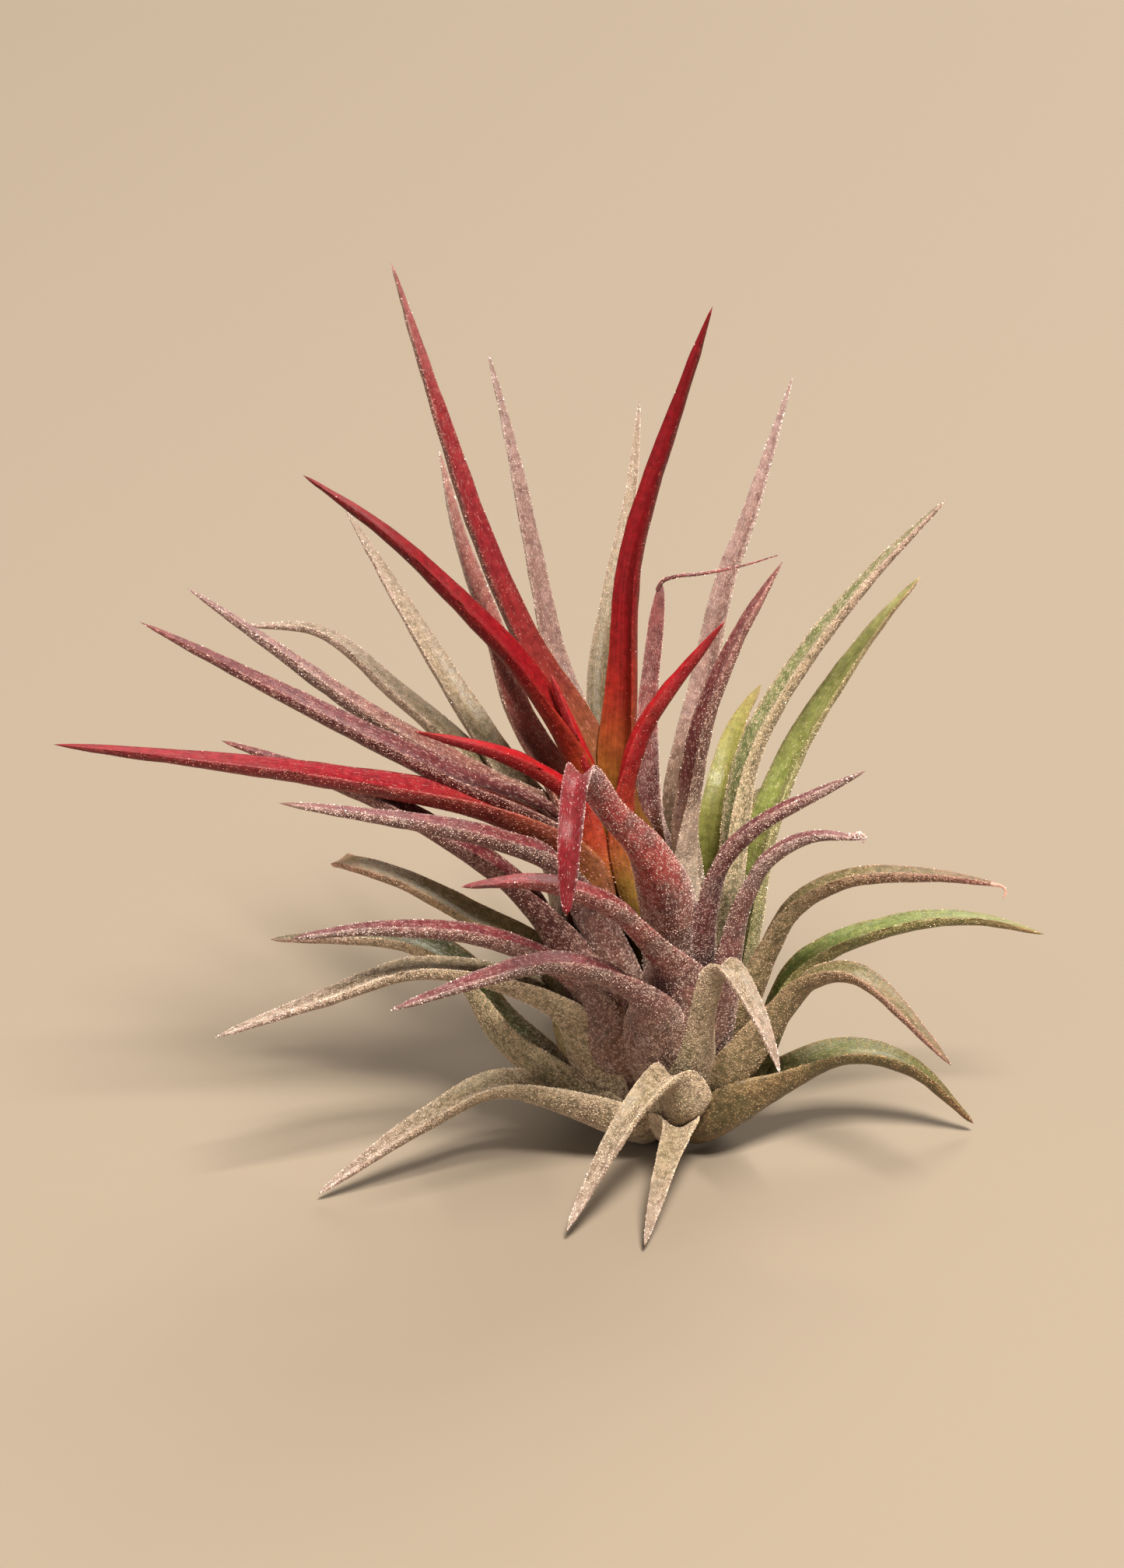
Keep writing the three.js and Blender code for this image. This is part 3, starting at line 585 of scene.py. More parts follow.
def scaleCover(tree, given, skin):
    # Scales, denser in some patches than in others, and on the rims
    form = scaleForm
    onLeaf = addNode(tree, "GeometryNodeInputNamedAttribute", {
        "Name": "onLeaf",
    }, data_type="FLOAT_VECTOR").outputs[0]
    parts = addNode(tree, "ShaderNodeSeparateXYZ", {0: onLeaf}).outputs
    rim = addNode(tree, "ShaderNodeMapRange", {
        "Value": addNode(tree, "ShaderNodeMath", {0: parts["X"]}, operation="ABSOLUTE").outputs[0],
        "From Min": form["rimFrom"], **span("To", form["rimShares"]),
    }).outputs[0]
    clumps = addNode(tree, "ShaderNodeTexNoise", {"Scale": 1 / (form["patchSize"] * mm), "Detail": 2.0})
    patches = addNode(tree, "ShaderNodeMapRange", {
        "Value": clumps.outputs[0], **span("From", form["patchEdge"]), **span("To", form["patchShares"]),
    }).outputs[0]
    facing = addNode(tree, "ShaderNodeMapRange", {
        "Value": parts["Y"], **span("From", form["channelEdge"]), **span("To", (1, given["Channel Scales"])),
    }).outputs[0]
    outside = addNode(tree, "ShaderNodeMapRange", {
        "Value": parts["Z"], **span("From", form["hiddenRoot"]),
    }).outputs[0]
    density = scalesAlong(tree, parts["Z"], [given[part + " Scales"] for part in ("Root", "Blade", "Tip")])
    for share in (rim, patches, facing, outside):
        density = addNode(tree, "ShaderNodeMath", {0: density, 1: share}, operation="MULTIPLY").outputs[0]
    spots = addNode(tree, "GeometryNodeDistributePointsOnFaces", {
        "Mesh": skin, "Density": density, "Seed": given["Seed"],
    }, distribute_method="RANDOM")
    scale = addNode(tree, "GeometryNodeMeshCone", {
        "Vertices": 3, "Radius Top": 0.0, "Radius Bottom": 1.0, "Depth": form["height"],
    }).outputs["Mesh"]
    onScale = addNode(tree, "GeometryNodeInputPosition").outputs[0]
    markedScale = storeMarks(tree, scale, [("onScale", onScale, "FLOAT_VECTOR", "POINT")])
    tipward = addNode(tree, "GeometryNodeSampleCurve", {
        "Curves": given["Geometry"], "Factor": parts["Z"],
    }, mode="FACTOR").outputs["Tangent"]
    upright = addNode(tree, "FunctionNodeAxesToRotation", {
        "Primary Axis": spots.outputs["Normal"], "Secondary Axis": tipward,
    }, primary_axis="Z", secondary_axis="X").outputs[0]
    lean = addNode(tree, "FunctionNodeRandomValue", {
        "Min": form["leans"][0], "Max": form["leans"][1], "Seed": given["Seed"],
    }, data_type="FLOAT_VECTOR").outputs[0]
    tilted = addNode(tree, "FunctionNodeRotateRotation", {
        "Rotation": upright, "Rotate By": addNode(tree, "FunctionNodeEulerToRotation", {0: lean}).outputs[0],
    }, rotation_space="LOCAL").outputs[0]
    smallest, largest = [share * form["radius"] * mm for share in form["sizes"]]
    size = addNode(tree, "FunctionNodeRandomValue", {
        2: smallest, 3: largest, "Seed": given["Seed"],
    }, data_type="FLOAT").outputs[1]
    placed = addNode(tree, "GeometryNodeInstanceOnPoints", {
        "Points": spots.outputs["Points"], "Instance": markedScale, "Rotation": tilted, "Scale": size,
    }).outputs[0]
    real = addNode(tree, "GeometryNodeRealizeInstances", {"Geometry": placed}).outputs[0]
    spot = addNode(tree, "ShaderNodeSeparateXYZ", {
        0: addNode(tree, "GeometryNodeInputNamedAttribute", {
            "Name": "onScale",
        }, data_type="FLOAT_VECTOR").outputs[0],
    }).outputs
    bakeColumn = addNode(tree, "ShaderNodeMapRange", {
        "Value": parts["Z"], **span("To", bakeMap["scalePlaces"]),
    }).outputs[0]
    bakePlace = addNode(tree, "ShaderNodeCombineXYZ", {
        "X": addNode(tree, "ShaderNodeMath", {
            0: spot["X"], 1: bakeMap["scaleLength"], 2: bakeColumn,
        }, operation="MULTIPLY_ADD").outputs[0],
        "Y": addNode(tree, "ShaderNodeMath", {
            0: spot["Y"], 1: bakeMap["strip"], 2: bakeMap["scales"],
        }, operation="MULTIPLY_ADD").outputs[0],
    }).outputs[0]
    marked = storeMarks(tree, real, [("OFBake", bakePlace, "FLOAT2", "CORNER")])
    return addNode(tree, "GeometryNodeSetMaterial", {
        "Geometry": marked, "Material": given["Scale Skin"],
    }).outputs[0]


def leafTree():
    tree = bpy.data.node_groups.new("leaf", "GeometryNodeTree")
    for inOut in ("INPUT", "OUTPUT"):
        tree.interface.new_socket(name="Geometry", in_out=inOut, socket_type="NodeSocketGeometry")
    for kind, names in leafInputs.items():
        for name in names:
            tree.interface.new_socket(name=name, in_out="INPUT", socket_type=kind)
    given = addNode(tree, "NodeGroupInput").outputs
    whole = addNode(tree, "GeometryNodeJoinGeometry")
    tree.links.new(dryThread(tree, given), whole.inputs[0])
    tree.links.new(grownBlade(tree, given), whole.inputs[0])
    toned = storeMarks(tree, whole.outputs[0], [("tone", given["Tone"], "FLOAT", "POINT")])
    smooth = addNode(tree, "GeometryNodeSetShadeSmooth", {"Geometry": toned}).outputs[0]
    skin = addNode(tree, "GeometryNodeSetMaterial", {
        "Geometry": smooth, "Material": given["Skin"],
    }).outputs[0]
    covered = addNode(tree, "GeometryNodeJoinGeometry")
    tree.links.new(scaleCover(tree, given, skin), covered.inputs[0])
    tree.links.new(skin, covered.inputs[0])
    addNode(tree, "NodeGroupOutput", {"Geometry": covered.outputs[0]})
    return tree


def madeMesh(host, tree, values):
    # Runs the tree on the host and leaves a plain mesh object of the result
    modifier = host.modifiers.new("shape", "NODES")
    modifier.node_group = tree
    inputs = [item for item in tree.interface.items_tree if item.in_out == "INPUT"]
    identifiers = {item.name: item.identifier for item in inputs}
    for name, value in values.items():
        modifier[identifiers[name]] = value
    bpy.context.scene.collection.objects.link(host)
    graph = bpy.context.evaluated_depsgraph_get()
    grown = host.evaluated_get(graph)
    mesh = bpy.data.meshes.new_from_object(grown, preserve_all_data_layers=True, depsgraph=graph)
    while mesh.materials[0] is None:  # the sheet's and the scale's own empty slot
        mesh.materials.pop(index=0)
    name = host.name
    bpy.data.objects.remove(host)
    piece = bpy.data.objects.new(name, mesh)
    bpy.context.scene.collection.objects.link(piece)
    return piece


# Materials

# skin: colours from the root to the tip, where the darker first stops of several finishes are partly the
# sheaths' own brown and partly painted shade where the sheaths crowd together; inner: the channel's own
# colour; patch: a second colour in broad patches, and patchShare its strength; scale and tipScale: the
# scales' colours; scales: how
# many lie on a mm2 of the sheath, the blade and the tip; channelScales: the share of them in the channel;
# shine:
# the cuticle's specular level
finishes = {
    "crimson": {
        "skin": [(0, "#6e6434"), (0.26, "#88682c"), (0.4, "#983c22"), (0.55, "#961a20"), (0.85, "#80141f"),
                 (1, "#7e1c24")],
        "inner": "#a8141c", "patch": "#6c281a", "patchShare": 0.25, "scale": "#b8685c", "tipScale": "#a8584e",
        "scales": (2, 5, 3), "channelScales": 0.25, "shine": 0.3,
    },
    "deepCrimson": {
        "skin": [(0, "#5c542c"), (0.28, "#845824"), (0.42, "#86281a"), (0.56, "#6a0c14"), (0.85, "#5a0a13"),
                 (1, "#641a20")],
        "inner": "#760c13", "patch": "#481a16", "patchShare": 0.3, "scale": "#9c4038", "tipScale": "#98443e",
        "scales": (2, 4, 3), "channelScales": 0.25, "shine": 0.15,
    },
    "redSpeckled": {
        "skin": [(0, "#6c5834"), (0.26, "#7c4c28"), (0.42, "#74261c"), (0.58, "#761420"), (0.85, "#6c101c"),
                 (1, "#701822")],
        "inner": "#801620", "patch": "#481a20", "patchShare": 0.35, "scale": "#c48478", "tipScale": "#b0685e",
        "scales": (6, 7, 5), "channelScales": 0.4, "shine": 0.3,
    },
    "maroon": {
        "skin": [(0, "#645040"), (0.24, "#603a2e"), (0.4, "#4e1c1e"), (0.7, "#521620"), (0.9, "#5e1c24"),
                 (1, "#8c4848")],
        "inner": "#561a20", "patch": "#3a1a1e", "patchShare": 0.4, "scale": "#d8b4a8", "tipScale": "#dcb0a8",
        "scales": (24, 12, 10), "channelScales": 0.45, "shine": 0.3,
    },
    "rosy": {
        "skin": [(0, "#6c5c48"), (0.22, "#6a4a3c"), (0.4, "#66282a"), (0.6, "#761a1e"), (0.85, "#6e161e"),
                 (1, "#7a2c32")],
        "inner": "#701820", "patch": "#402628", "patchShare": 0.65, "scale": "#e2c8be", "tipScale": "#b07470",
        "scales": (26, 15, 6), "channelScales": 0.5, "shine": 0.6,
    },
    "plumGrey": {
        "skin": [(0, "#7c6a50"), (0.28, "#7c5c48"), (0.48, "#6c3c38"), (0.8, "#603234"), (1, "#805456")],
        "inner": "#6c3a36", "patch": "#4c3a32", "patchShare": 0.45, "scale": "#dcbeaa", "tipScale": "#ecd4cc",
        "scales": (22, 13, 14), "channelScales": 0.6, "shine": 0.5,
    },
    "blush": {
        "skin": [(0, "#6c6446"), (0.25, "#6e6044"), (0.5, "#684a46"), (0.8, "#7a5854"), (1, "#9c7e78")],
        "inner": "#74524c", "patch": "#7a6052", "patchShare": 0.45, "scale": "#d4baaa", "tipScale": "#f0dcd6",
        "scales": (18, 14, 18), "channelScales": 0.7, "shine": 0.5,
    },
    "greyGreen": {
        "skin": [(0, "#6a6044"), (0.25, "#6c6042"), (0.5, "#6c5c42"), (0.8, "#745646"), (1, "#94766a")],
        "inner": "#6e6444", "patch": "#765c4c", "patchShare": 0.45, "scale": "#d0b8a0", "tipScale": "#ecd4ca",
        "scales": (22, 18, 20), "channelScales": 0.8, "shine": 0.5,
    },
    # Lime-green leaf at the back: its own yellow-green, lightened further as a painted glow of light shining
    # through it
    "limeWithPaintedGlow": {
        "skin": [(0, "#6a6a36"), (0.3, "#747034"), (0.6, "#787a38"), (0.85, "#84783c"), (1, "#9c7a54")],
        "inner": "#76783c", "patch": "#746c3c", "patchShare": 0.3, "scale": "#c4b080", "tipScale": "#c09474",
        "scales": (12, 8, 6), "channelScales": 0.5, "shine": 0.5,
    },
    "green": {
        "skin": [(0, "#606038"), (0.3, "#68703a"), (0.5, "#72783c"), (0.8, "#847a4a"), (1, "#a08464")],
        "inner": "#7e8a44", "patch": "#6a5836", "patchShare": 0.4, "scale": "#d8c8a0", "tipScale": "#dcc0a0",
        "scales": (22, 12, 7), "channelScales": 0.4, "shine": 0.5,
    },
    "silverGreen": {
        "skin": [(0, "#6c5e46"), (0.25, "#68684a"), (0.5, "#646642"), (0.8, "#685840"), (1, "#80564a")],
        "inner": "#5a7638", "patch": "#5c4634", "patchShare": 0.5, "scale": "#dcc4a4", "tipScale": "#f0d0c4",
        "scales": (28, 26, 26), "channelScales": 0.55, "shine": 0.5,
    },
    "silver": {
        "skin": [(0, "#706048"), (0.25, "#70644a"), (0.5, "#6a6044"), (0.8, "#684a3e"), (1, "#80544c")],
        "inner": "#6a6042", "patch": "#5a3630", "patchShare": 0.5, "scale": "#dcc6aa", "tipScale": "#f4dcd2",
        "scales": (30, 30, 30), "channelScales": 0.7, "shine": 0.5,
    },
    "plumSilver": {
        "skin": [(0, "#5c4634"), (0.22, "#60382e"), (0.42, "#5e2228"), (0.72, "#5e1a20"), (0.9, "#642a2e"),
                 (1, "#8c605c")],
        "inner": "#641a24", "patch": "#3c282c", "patchShare": 0.65, "scale": "#dcc0b4", "tipScale": "#f4dcd4",
        "scales": (25, 13, 17), "channelScales": 0.4, "shine": 0.6,
    },
    "oliveBrown": {
        "skin": [(0, "#4a4028"), (0.3, "#4a442a"), (0.6, "#4a4c2a"), (0.85, "#50482c"), (1, "#684e34")],
        "inner": "#4c5428", "patch": "#5a3e2c", "patchShare": 0.45, "scale": "#ac9068", "tipScale": "#b48860",
        "scales": (20, 14, 12), "channelScales": 0.6, "shine": 0.5,
    },
}

# Finishes that are like another one, but for what is given here
finishVariants = {
    # Pale root: partly the sheath's silvery scales, partly a painted highlight on its front
    "maroonPaintedHighlightRoot": ("maroon", {
        "skin": [(0, "#b8a48e"), (0.3, "#c8b8a4"), (0.43, "#c0ac98"), (0.53, "#46281f"), (0.72, "#521a1c"),
                 (1, "#9c6460")],
        "scale": "#dcc2b0", "scales": (40, 11, 12),
    }),
    "rosyGrey": ("rosy", {"inner": "#6e3a38", "tipScale": "#c89c94", "scales": (28, 26, 18)}),
    "roseStrap": ("rosy", {
        "skin": [(0, "#584430"), (0.22, "#644634"), (0.4, "#8a2a28"), (0.6, "#84161e"), (0.85, "#600e16"),
                 (1, "#60121a")],
        "inner": "#700e18", "tipScale": "#dcb8be",
        "scales": (26, 11, 12), "channelScales": 0.15, "shine": 0.25,
    }),
    "duskyGreen": ("silverGreen", {
        "skin": [(0, "#685a40"), (0.25, "#625a3a"), (0.5, "#5a5234"), (0.8, "#644236"), (1, "#743832")],
        "inner": "#565c30", "patch": "#4e4030", "scale": "#c4a888", "tipScale": "#d09c8e",
        "scales": (24, 20, 20),
    }),
    # Lighter skin and channel: painted bounce light on a leaf that lies in the shade of the leaves above
    "paintedBounceLightGreen": ("duskyGreen", {
        "skin": [(0, "#7c6a4c"), (0.25, "#787448"), (0.5, "#787044"), (0.8, "#7e6248"), (1, "#7c463a")],
        "inner": "#8c8450", "channelScales": 0.9,
    }),
    "oliveGreen": ("green", {
        "skin": [(0, "#5c5630"), (0.3, "#505a2c"), (0.5, "#566030"), (0.8, "#6c6a3a"), (1, "#8c7048")],
        "inner": "#607038", "scale": "#c4b080", "channelScales": 0.35,
    }),
    # Lighter skin: partly the leaf's own rose, partly painted light where it lies in the crimson leaves'
    # shade
    "rosePaintedLight": ("plumGrey", {
        "skin": [(0, "#a04a34"), (0.28, "#bc5840"), (0.48, "#8c302a"), (0.8, "#765650"), (1, "#b09a8e")],
        "inner": "#8c3630",
    }),
    # Paler tip: partly the pale tips that the leaves have, partly painted light where this tip lies in shade
    "crimsonPaintedLitTip": ("redSpeckled", {
        "skin": [(0, "#7c7040"), (0.26, "#86603a"), (0.42, "#6c3020"), (0.6, "#5c1016"), (0.8, "#70282a"),
                 (1, "#a0807a")],
        "tipScale": "#c8a89c", "scales": (6, 6, 14),
    }),
}
for finishName, (otherName, changes) in finishVariants.items():
    finishes[finishName] = {**finishes[otherName], **changes}

scaleLook = {
    "tipFrom": 0.6,  # where the tip's colour starts to come in
    "shadeSize": 0.25,
    "shadeEdge": (0.3, 0.7),
    # Above 1 a scale is lighter than its colour: painted glints, over the scales' own random tone
    "shades": (0.7, 1.6),
    "roughness": 0.28,
    "ior": 1.55,
}


def scaleColour(tree, place, finish):
    tipward = addNode(tree, "ShaderNodeMapRange", {
        "Value": place, "From Min": scaleLook["tipFrom"],
    }).outputs[0]
    return addNode(tree, "ShaderNodeMix", {
        "Factor": tipward, 6: linearColour(finish["scale"]), 7: linearColour(finish["tipScale"]),
    }, data_type="RGBA").outputs[2]


skinDetail = {
    "patchSize": 2.6,
    "patchEdge": (0.45, 0.62),  # of the noise, from none of the patch's colour to all its share
    "innerEdge": (0, 0.7),  # the channel's colour comes in from its rim, which is 0, to its bed, which is 1
    "innerAlong": (0.25, 0.5),  # and here on the way to the tip
    "innerShare": 0.6,
    "ownShift": 5.0,  # moves the pattern along each leaf by the leaf's tone
    "streaks": (9, 7, 8),  # to half the leaf's width, half its thickness and its length
    "mottleSize": 0.5,
    "mixEdge": (0.7, 1.3),  # of the streaks and mottles together, from dark to light
    "shades": (0.6, 1.35),
    "tones": (0.92, 1.08),  # the darkest leaf and the lightest
    "relief": 0.6,  # of the streaks and mottles beside that of the scales
    "reliefDepth": 0.08,
    "reliefStrength": 0.8,
    "roughness": (0.35, 0.62),  # of the bare cuticle and of the scales
}

# Scales too fine for the mesh: real ones are 0.1 mm wide, and are drawn up to 0.3 mm long so that they show
fineScales = {
    "cells": (20, 14, 190),  # to half the leaf's width, half its thickness and its length
    "coverPerScale": 0.021,
    "channelEdge": (-0.15, 0.15),  # across the rim, from the back to the channel
    "rimFrom": 0.75,
    "rimCover": 0.7,  # added at the very rim
    "clumpEdge": (0.35, 0.65),
    "clumpShares": (0.45, 1.5),
    "chosenEdge": (-0.04, 0.04),  # keeps the choice of cells soft
    "dotEdge": (0.25, 0.6),
    "dotStrengths": (0.62, 0.08),  # at the dot's middle and at its edge
    "evenVeil": 0.22,  # scales too small to tell apart
    "sheenPerScale": 0.012,
}


def fineVeil(tree, finish, parts, ownPlace, mottle):
    # A dot in each cell whose random number is below the cover there, over an even veil
    form = fineScales
    cellPlace = addNode(tree, "ShaderNodeMapping", {"Vector": ownPlace, "Scale": form["cells"]}).outputs[0]
    cells = addNode(tree, "ShaderNodeTexVoronoi", {"Vector": cellPlace, "Scale": 1.0}).outputs
    number = addNode(tree, "ShaderNodeSeparateColor", {0: cells["Color"]}).outputs[0]
    along = scalesAlong(tree, parts["Z"], [count * form["coverPerScale"] for count in finish["scales"]])
    facing = addNode(tree, "ShaderNodeMapRange", {
        "Value": parts["Y"], **span("From", form["channelEdge"]), **span("To", (1, finish["channelScales"])),
    }).outputs[0]
    rimCover = addNode(tree, "ShaderNodeMapRange", {
        "Value": addNode(tree, "ShaderNodeMath", {0: parts["X"]}, operation="ABSOLUTE").outputs[0],
        "From Min": form["rimFrom"], "To Max": form["rimCover"],
    }).outputs[0]
    cover = addNode(tree, "ShaderNodeMath", {
        0: addNode(tree, "ShaderNodeMath", {0: facing, 1: rimCover}, operation="ADD").outputs[0], 1: along,
    }, operation="MULTIPLY").outputs[0]
    clumps = addNode(tree, "ShaderNodeMapRange", {
        "Value": mottle, **span("From", form["clumpEdge"]), **span("To", form["clumpShares"]),
    }).outputs[0]
    patchyCover = addNode(tree, "ShaderNodeMath", {0: cover, 1: clumps}, operation="MULTIPLY").outputs[0]
    chosen = addNode(tree, "ShaderNodeMapRange", {
        "Value": addNode(tree, "ShaderNodeMath", {
            0: patchyCover, 1: number,
        }, operation="SUBTRACT").outputs[0],
        **span("From", form["chosenEdge"]),
    }).outputs[0]
    dot = addNode(tree, "ShaderNodeMapRange", {
        "Value": cells["Distance"], **span("From", form["dotEdge"]), **span("To", form["dotStrengths"]),
    }).outputs[0]
    dots = addNode(tree, "ShaderNodeMath", {0: chosen, 1: dot}, operation="MULTIPLY").outputs[0]
    return addNode(tree, "ShaderNodeMath", {
        0: patchyCover, 1: form["evenVeil"], 2: dots,
    }, operation="MULTIPLY_ADD", use_clamp=True).outputs[0]


def skinMaterial(name, finish):
    # Living leaf: a satin cuticle that shows between silvery trichome scales, thickest on the rim
    form = skinDetail
    material, shader = newMaterial(name + "LeafSkin")
    tree = material.node_tree
    onLeaf = addNode(tree, "ShaderNodeAttribute", attribute_name="onLeaf").outputs["Vector"]
    tone = addNode(tree, "ShaderNodeAttribute", attribute_name="tone").outputs["Fac"]
    place = addNode(tree, "ShaderNodeTexCoord").outputs["Object"]
    parts = addNode(tree, "ShaderNodeSeparateXYZ", {0: onLeaf}).outputs
    ramp = addNode(tree, "ShaderNodeValToRGB", {"Fac": parts["Z"]})
    stops = ramp.color_ramp.elements
    while len(stops) < len(finish["skin"]):
        stops.new(0.5)
    for stop, (position, colour) in zip(stops, finish["skin"]):
        stop.position = position
        stop.color = linearColour(colour)
    patches = addNode(tree, "ShaderNodeTexNoise", {
        "Vector": place, "Scale": 1 / (form["patchSize"] * mm), "Detail": 2.0,
    }).outputs[0]
    patchMask = addNode(tree, "ShaderNodeMapRange", {
        "Value": patches, **span("From", form["patchEdge"]), "To Max": finish["patchShare"],
    }).outputs[0]
    patched = addNode(tree, "ShaderNodeMix", {
        "Factor": patchMask, 6: ramp.outputs["Color"], 7: linearColour(finish["patch"]),
    }, data_type="RGBA").outputs[2]
    innerMask = addNode(tree, "ShaderNodeMapRange", {
        "Value": parts["Y"], **span("From", form["innerEdge"]), "To Max": form["innerShare"],
    }).outputs[0]
    innerHere = addNode(tree, "ShaderNodeMapRange", {
        "Value": parts["Z"], **span("From", form["innerAlong"]), "To Max": innerMask,
    }).outputs[0]
    bothSides = addNode(tree, "ShaderNodeMix", {
        "Factor": innerHere, 6: patched, 7: linearColour(finish["inner"]),
    }, data_type="RGBA").outputs[2]
    shift = addNode(tree, "ShaderNodeMath", {0: tone, 1: form["ownShift"]}, operation="MULTIPLY").outputs[0]
    ownPlace = addNode(tree, "ShaderNodeVectorMath", {  # no two leaves have the same pattern
        0: onLeaf, 1: addNode(tree, "ShaderNodeCombineXYZ", {"Z": shift}).outputs[0],
    }, operation="ADD").outputs[0]
    streaks = addNode(tree, "ShaderNodeTexNoise", {
        "Vector": addNode(tree, "ShaderNodeMapping", {
            "Vector": ownPlace, "Scale": form["streaks"],
        }).outputs[0],
        "Scale": 1.0, "Detail": 4.0, "Roughness": 0.65,
    }).outputs[0]
    mottle = addNode(tree, "ShaderNodeTexNoise", {
        "Vector": place, "Scale": 1 / (form["mottleSize"] * mm), "Detail": 3.0,
    }).outputs[0]
    mixed = addNode(tree, "ShaderNodeMath", {0: streaks, 1: mottle}, operation="ADD").outputs[0]
    shade = addNode(tree, "ShaderNodeMapRange", {
        "Value": mixed, **span("From", form["mixEdge"]), **span("To", form["shades"]),
    }).outputs[0]
    toneShade = addNode(tree, "ShaderNodeMapRange", {"Value": tone, **span("To", form["tones"])}).outputs[0]
    value = addNode(tree, "ShaderNodeMath", {0: shade, 1: toneShade}, operation="MULTIPLY").outputs[0]
    toned = addNode(tree, "ShaderNodeHueSaturation", {"Color": bothSides, "Value": value}).outputs[0]
    veil = fineVeil(tree, finish, parts, ownPlace, mottle)
    colour = addNode(tree, "ShaderNodeMix", {
        "Factor": veil, 6: toned, 7: scaleColour(tree, parts["Z"], finish),
    }, data_type="RGBA").outputs[2]
    tree.links.new(colour, shader.inputs["Base Color"])
    roughness = addNode(tree, "ShaderNodeMapRange", {
        "Value": veil, **span("To", form["roughness"]),
    }).outputs[0]
    tree.links.new(roughness, shader.inputs["Roughness"])
    relief = addNode(tree, "ShaderNodeMath", {
        0: mixed, 1: form["relief"], 2: veil,
    }, operation="MULTIPLY_ADD").outputs[0]
    bump = addNode(tree, "ShaderNodeBump", {
        "Strength": form["reliefStrength"], "Distance": form["reliefDepth"] * mm, "Height": relief,
    }).outputs[0]
    tree.links.new(bump, shader.inputs["Normal"])
    setSockets(shader, {
        "IOR": 1.45,
        "Specular IOR Level": finish["shine"],
        "Sheen Weight": finish["scales"][1] * fineScales["sheenPerScale"],
        "Sheen Roughness": 0.4,
        "Sheen Tint": linearColour(finish["tipScale"]),
        "Subsurface Weight": 0.2,
        "Subsurface Radius": (1.0, 0.4, 0.2),
        "Subsurface Scale": 0.5 * mm,
    })
    return material


def scaleMaterial(name, finish):
    # Dry trichome scale: pale, tinted by the leaf, some lighter than others in random tone and as painted
    # glints, with a silky shine
    form = scaleLook
    material, shader = newMaterial(name + "LeafScales")
    tree = material.node_tree
    onLeaf = addNode(tree, "ShaderNodeAttribute", attribute_name="onLeaf").outputs["Vector"]
    place = addNode(tree, "ShaderNodeTexCoord").outputs["Object"]
    along = addNode(tree, "ShaderNodeSeparateXYZ", {0: onLeaf}).outputs["Z"]
    shade = addNode(tree, "ShaderNodeTexNoise", {
        "Vector": place, "Scale": 1 / (form["shadeSize"] * mm),
    }).outputs[0]
    # Random tone, with painted glints where the value goes above 1
    value = addNode(tree, "ShaderNodeMapRange", {
        "Value": shade, **span("From", form["shadeEdge"]), **span("To", form["shades"]),
    }).outputs[0]
    colour = addNode(tree, "ShaderNodeHueSaturation", {
        "Color": scaleColour(tree, along, finish), "Value": value,
    }).outputs[0]
    tree.links.new(colour, shader.inputs["Base Color"])
    setSockets(shader, {"Roughness": form["roughness"], "IOR": form["ior"]})
    return material


def addLeaves():
    tree = leafTree()
    skins = {name: skinMaterial(name, finish) for name, finish in finishes.items()}
    scaleSkins = {name: scaleMaterial(name, finish) for name, finish in finishes.items()}
    for zoneNumber, (zone, rows) in enumerate(leafRows.items()):
        for number, (slot, finishName, turnDegrees, rootHeight, bladeWidth, points) in enumerate(rows, 1):
            node = f"{zone}_leaf_{number:02d}"
            seed = number + 100 * zoneNumber  # no two leaves have the same
            end = leafEnds.get(node, {})
            rootTurn = math.radians(turnDegrees)
            finish = finishes[finishName]
            lines = growthLines(node + "_grown", zone, rootTurn, rootHeight, points, end.get("thread"))
            piece = madeMesh(lines, tree, {
                "Root Turn": rootTurn,
                "Blade Width": bladeWidth * mm,
                "Sheath Share": sheaths[zone]["width"],
                "Blunt": end.get("blunt", 0.0),
                "Channel Depth": end.get("channelDepth", 1.0),
                "Tone": seed * leafForm["toneStep"] % 1,
                "Root Scales": finish["scales"][0] / mm ** 2,
                "Blade Scales": finish["scales"][1] / mm ** 2,
                "Tip Scales": finish["scales"][2] / mm ** 2,
                "Channel Scales": finish["channelScales"],
                "Seed": seed,
                "Skin": skins[finishName],
                "Scale Skin": scaleSkins[finishName],
            })
            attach(piece, "root")
            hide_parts(node)


addLeaves()
print("leaves grown:", sum(len(rows) for rows in leafRows.values()))


# Stem

stemLook = {
    "dark": "#4a3a2a",
    "light": "#a08c6c",
    "fibreSize": 0.5,
    "stretch": (1, 1, 0.25),  # the fibres run up the stem
    "reliefDepth": 0.1,
    "reliefStrength": 0.8,
}


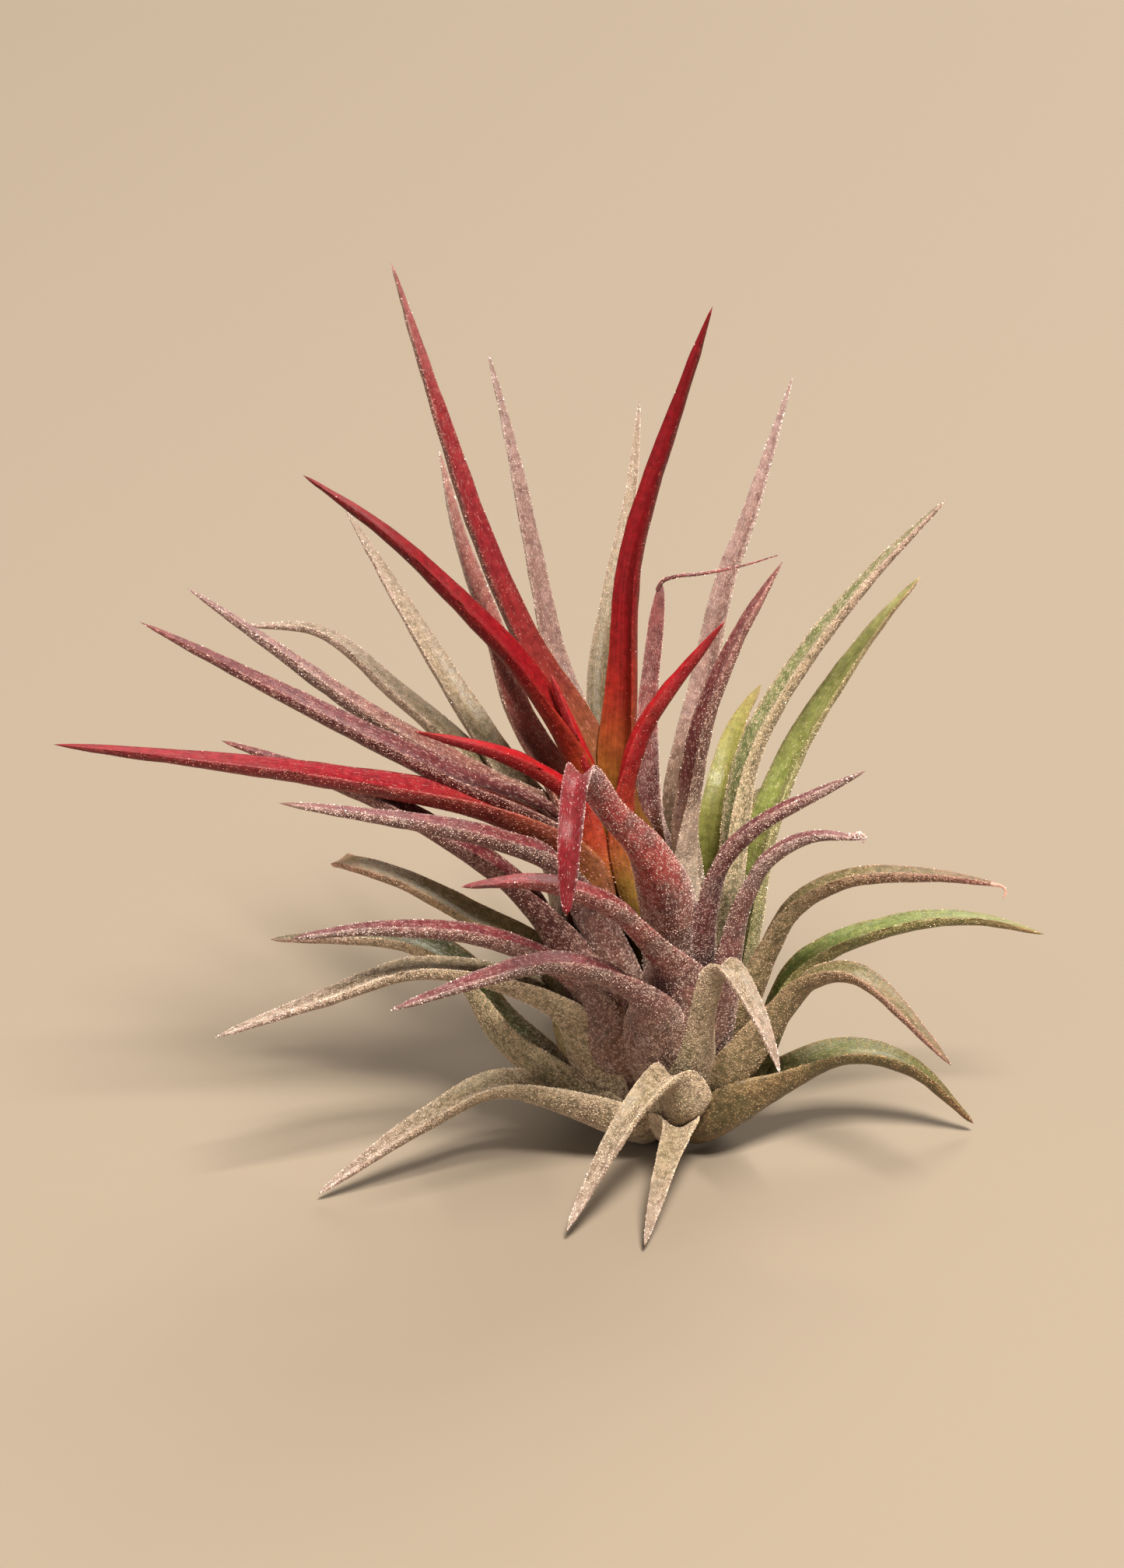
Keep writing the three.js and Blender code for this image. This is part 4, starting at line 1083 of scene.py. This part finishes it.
def stemMaterial():
    # Dry woody stem: fibrous, matte, brown
    form = stemLook
    material, shader = newMaterial("driedStemFibre")
    tree = material.node_tree
    place = addNode(tree, "ShaderNodeTexCoord").outputs["Object"]
    stretched = addNode(tree, "ShaderNodeMapping", {"Vector": place, "Scale": form["stretch"]}).outputs[0]
    fibres = addNode(tree, "ShaderNodeTexNoise", {
        "Vector": stretched, "Scale": 1 / (form["fibreSize"] * mm), "Detail": 4.0,
    }).outputs[0]
    colour = addNode(tree, "ShaderNodeMix", {
        "Factor": fibres, 6: linearColour(form["dark"]), 7: linearColour(form["light"]),
    }, data_type="RGBA").outputs[2]
    tree.links.new(colour, shader.inputs["Base Color"])
    bump = addNode(tree, "ShaderNodeBump", {
        "Strength": form["reliefStrength"], "Distance": form["reliefDepth"] * mm, "Height": fibres,
    }).outputs[0]
    tree.links.new(bump, shader.inputs["Normal"])
    setSockets(shader, {"Roughness": 0.85})
    return material


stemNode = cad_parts["stem"]
stemNode.data.materials.clear()
stemNode.data.materials.append(stemMaterial())
print("stem finished")


# Floor and light

studio = {
    "floor": "#867a6b",
    "floorSize": 6000,
    "sky": "#fbf3e8",
    "skyStrength": 0.24,
    "lamps": {
        "key": {"from": (220, -660, 1360), "size": 360, "watts": 54, "colour": "#fff6ea"},
        "fill": {"from": (-760, -520, 400), "size": 700, "watts": 2.4, "colour": "#fff0e2"},
        "back": {"from": (320, 720, 600), "size": 520, "watts": 7.5, "colour": "#fff8ee"},
    },
}


def addFloor():
    # Matte paper: even and pale, with no shine of its own
    bpy.ops.mesh.primitive_plane_add(size=studio["floorSize"] * mm)
    floor = bpy.context.object
    floor.name = "floor"
    paper, shader = newMaterial("matteBackdropPaper")
    setSockets(shader, {"Base Color": linearColour(studio["floor"]), "Roughness": 0.9})
    floor.data.materials.append(paper)


def addLight():
    world = bpy.data.worlds.new("studio")
    world.use_nodes = True
    setSockets(world.node_tree.nodes["Background"], {
        "Color": linearColour(studio["sky"]), "Strength": studio["skyStrength"],
    })
    bpy.context.scene.world = world
    bpy.context.scene.view_settings.view_transform = "Standard"
    for name, lamp in studio["lamps"].items():
        data = bpy.data.lights.new(name, "AREA")
        data.size = lamp["size"] * mm
        data.energy = lamp["watts"]
        data.color = linearColour(lamp["colour"])[:3]
        light = bpy.data.objects.new(name, data)
        light.location = Vector(lamp["from"]) * mm
        toPlant = Vector(view["aim"]) * mm - light.location
        light.rotation_euler = toPlant.to_track_quat("-Z", "Y").to_euler()
        bpy.context.scene.collection.objects.link(light)


addFloor()
addLight()
print("studio lit")
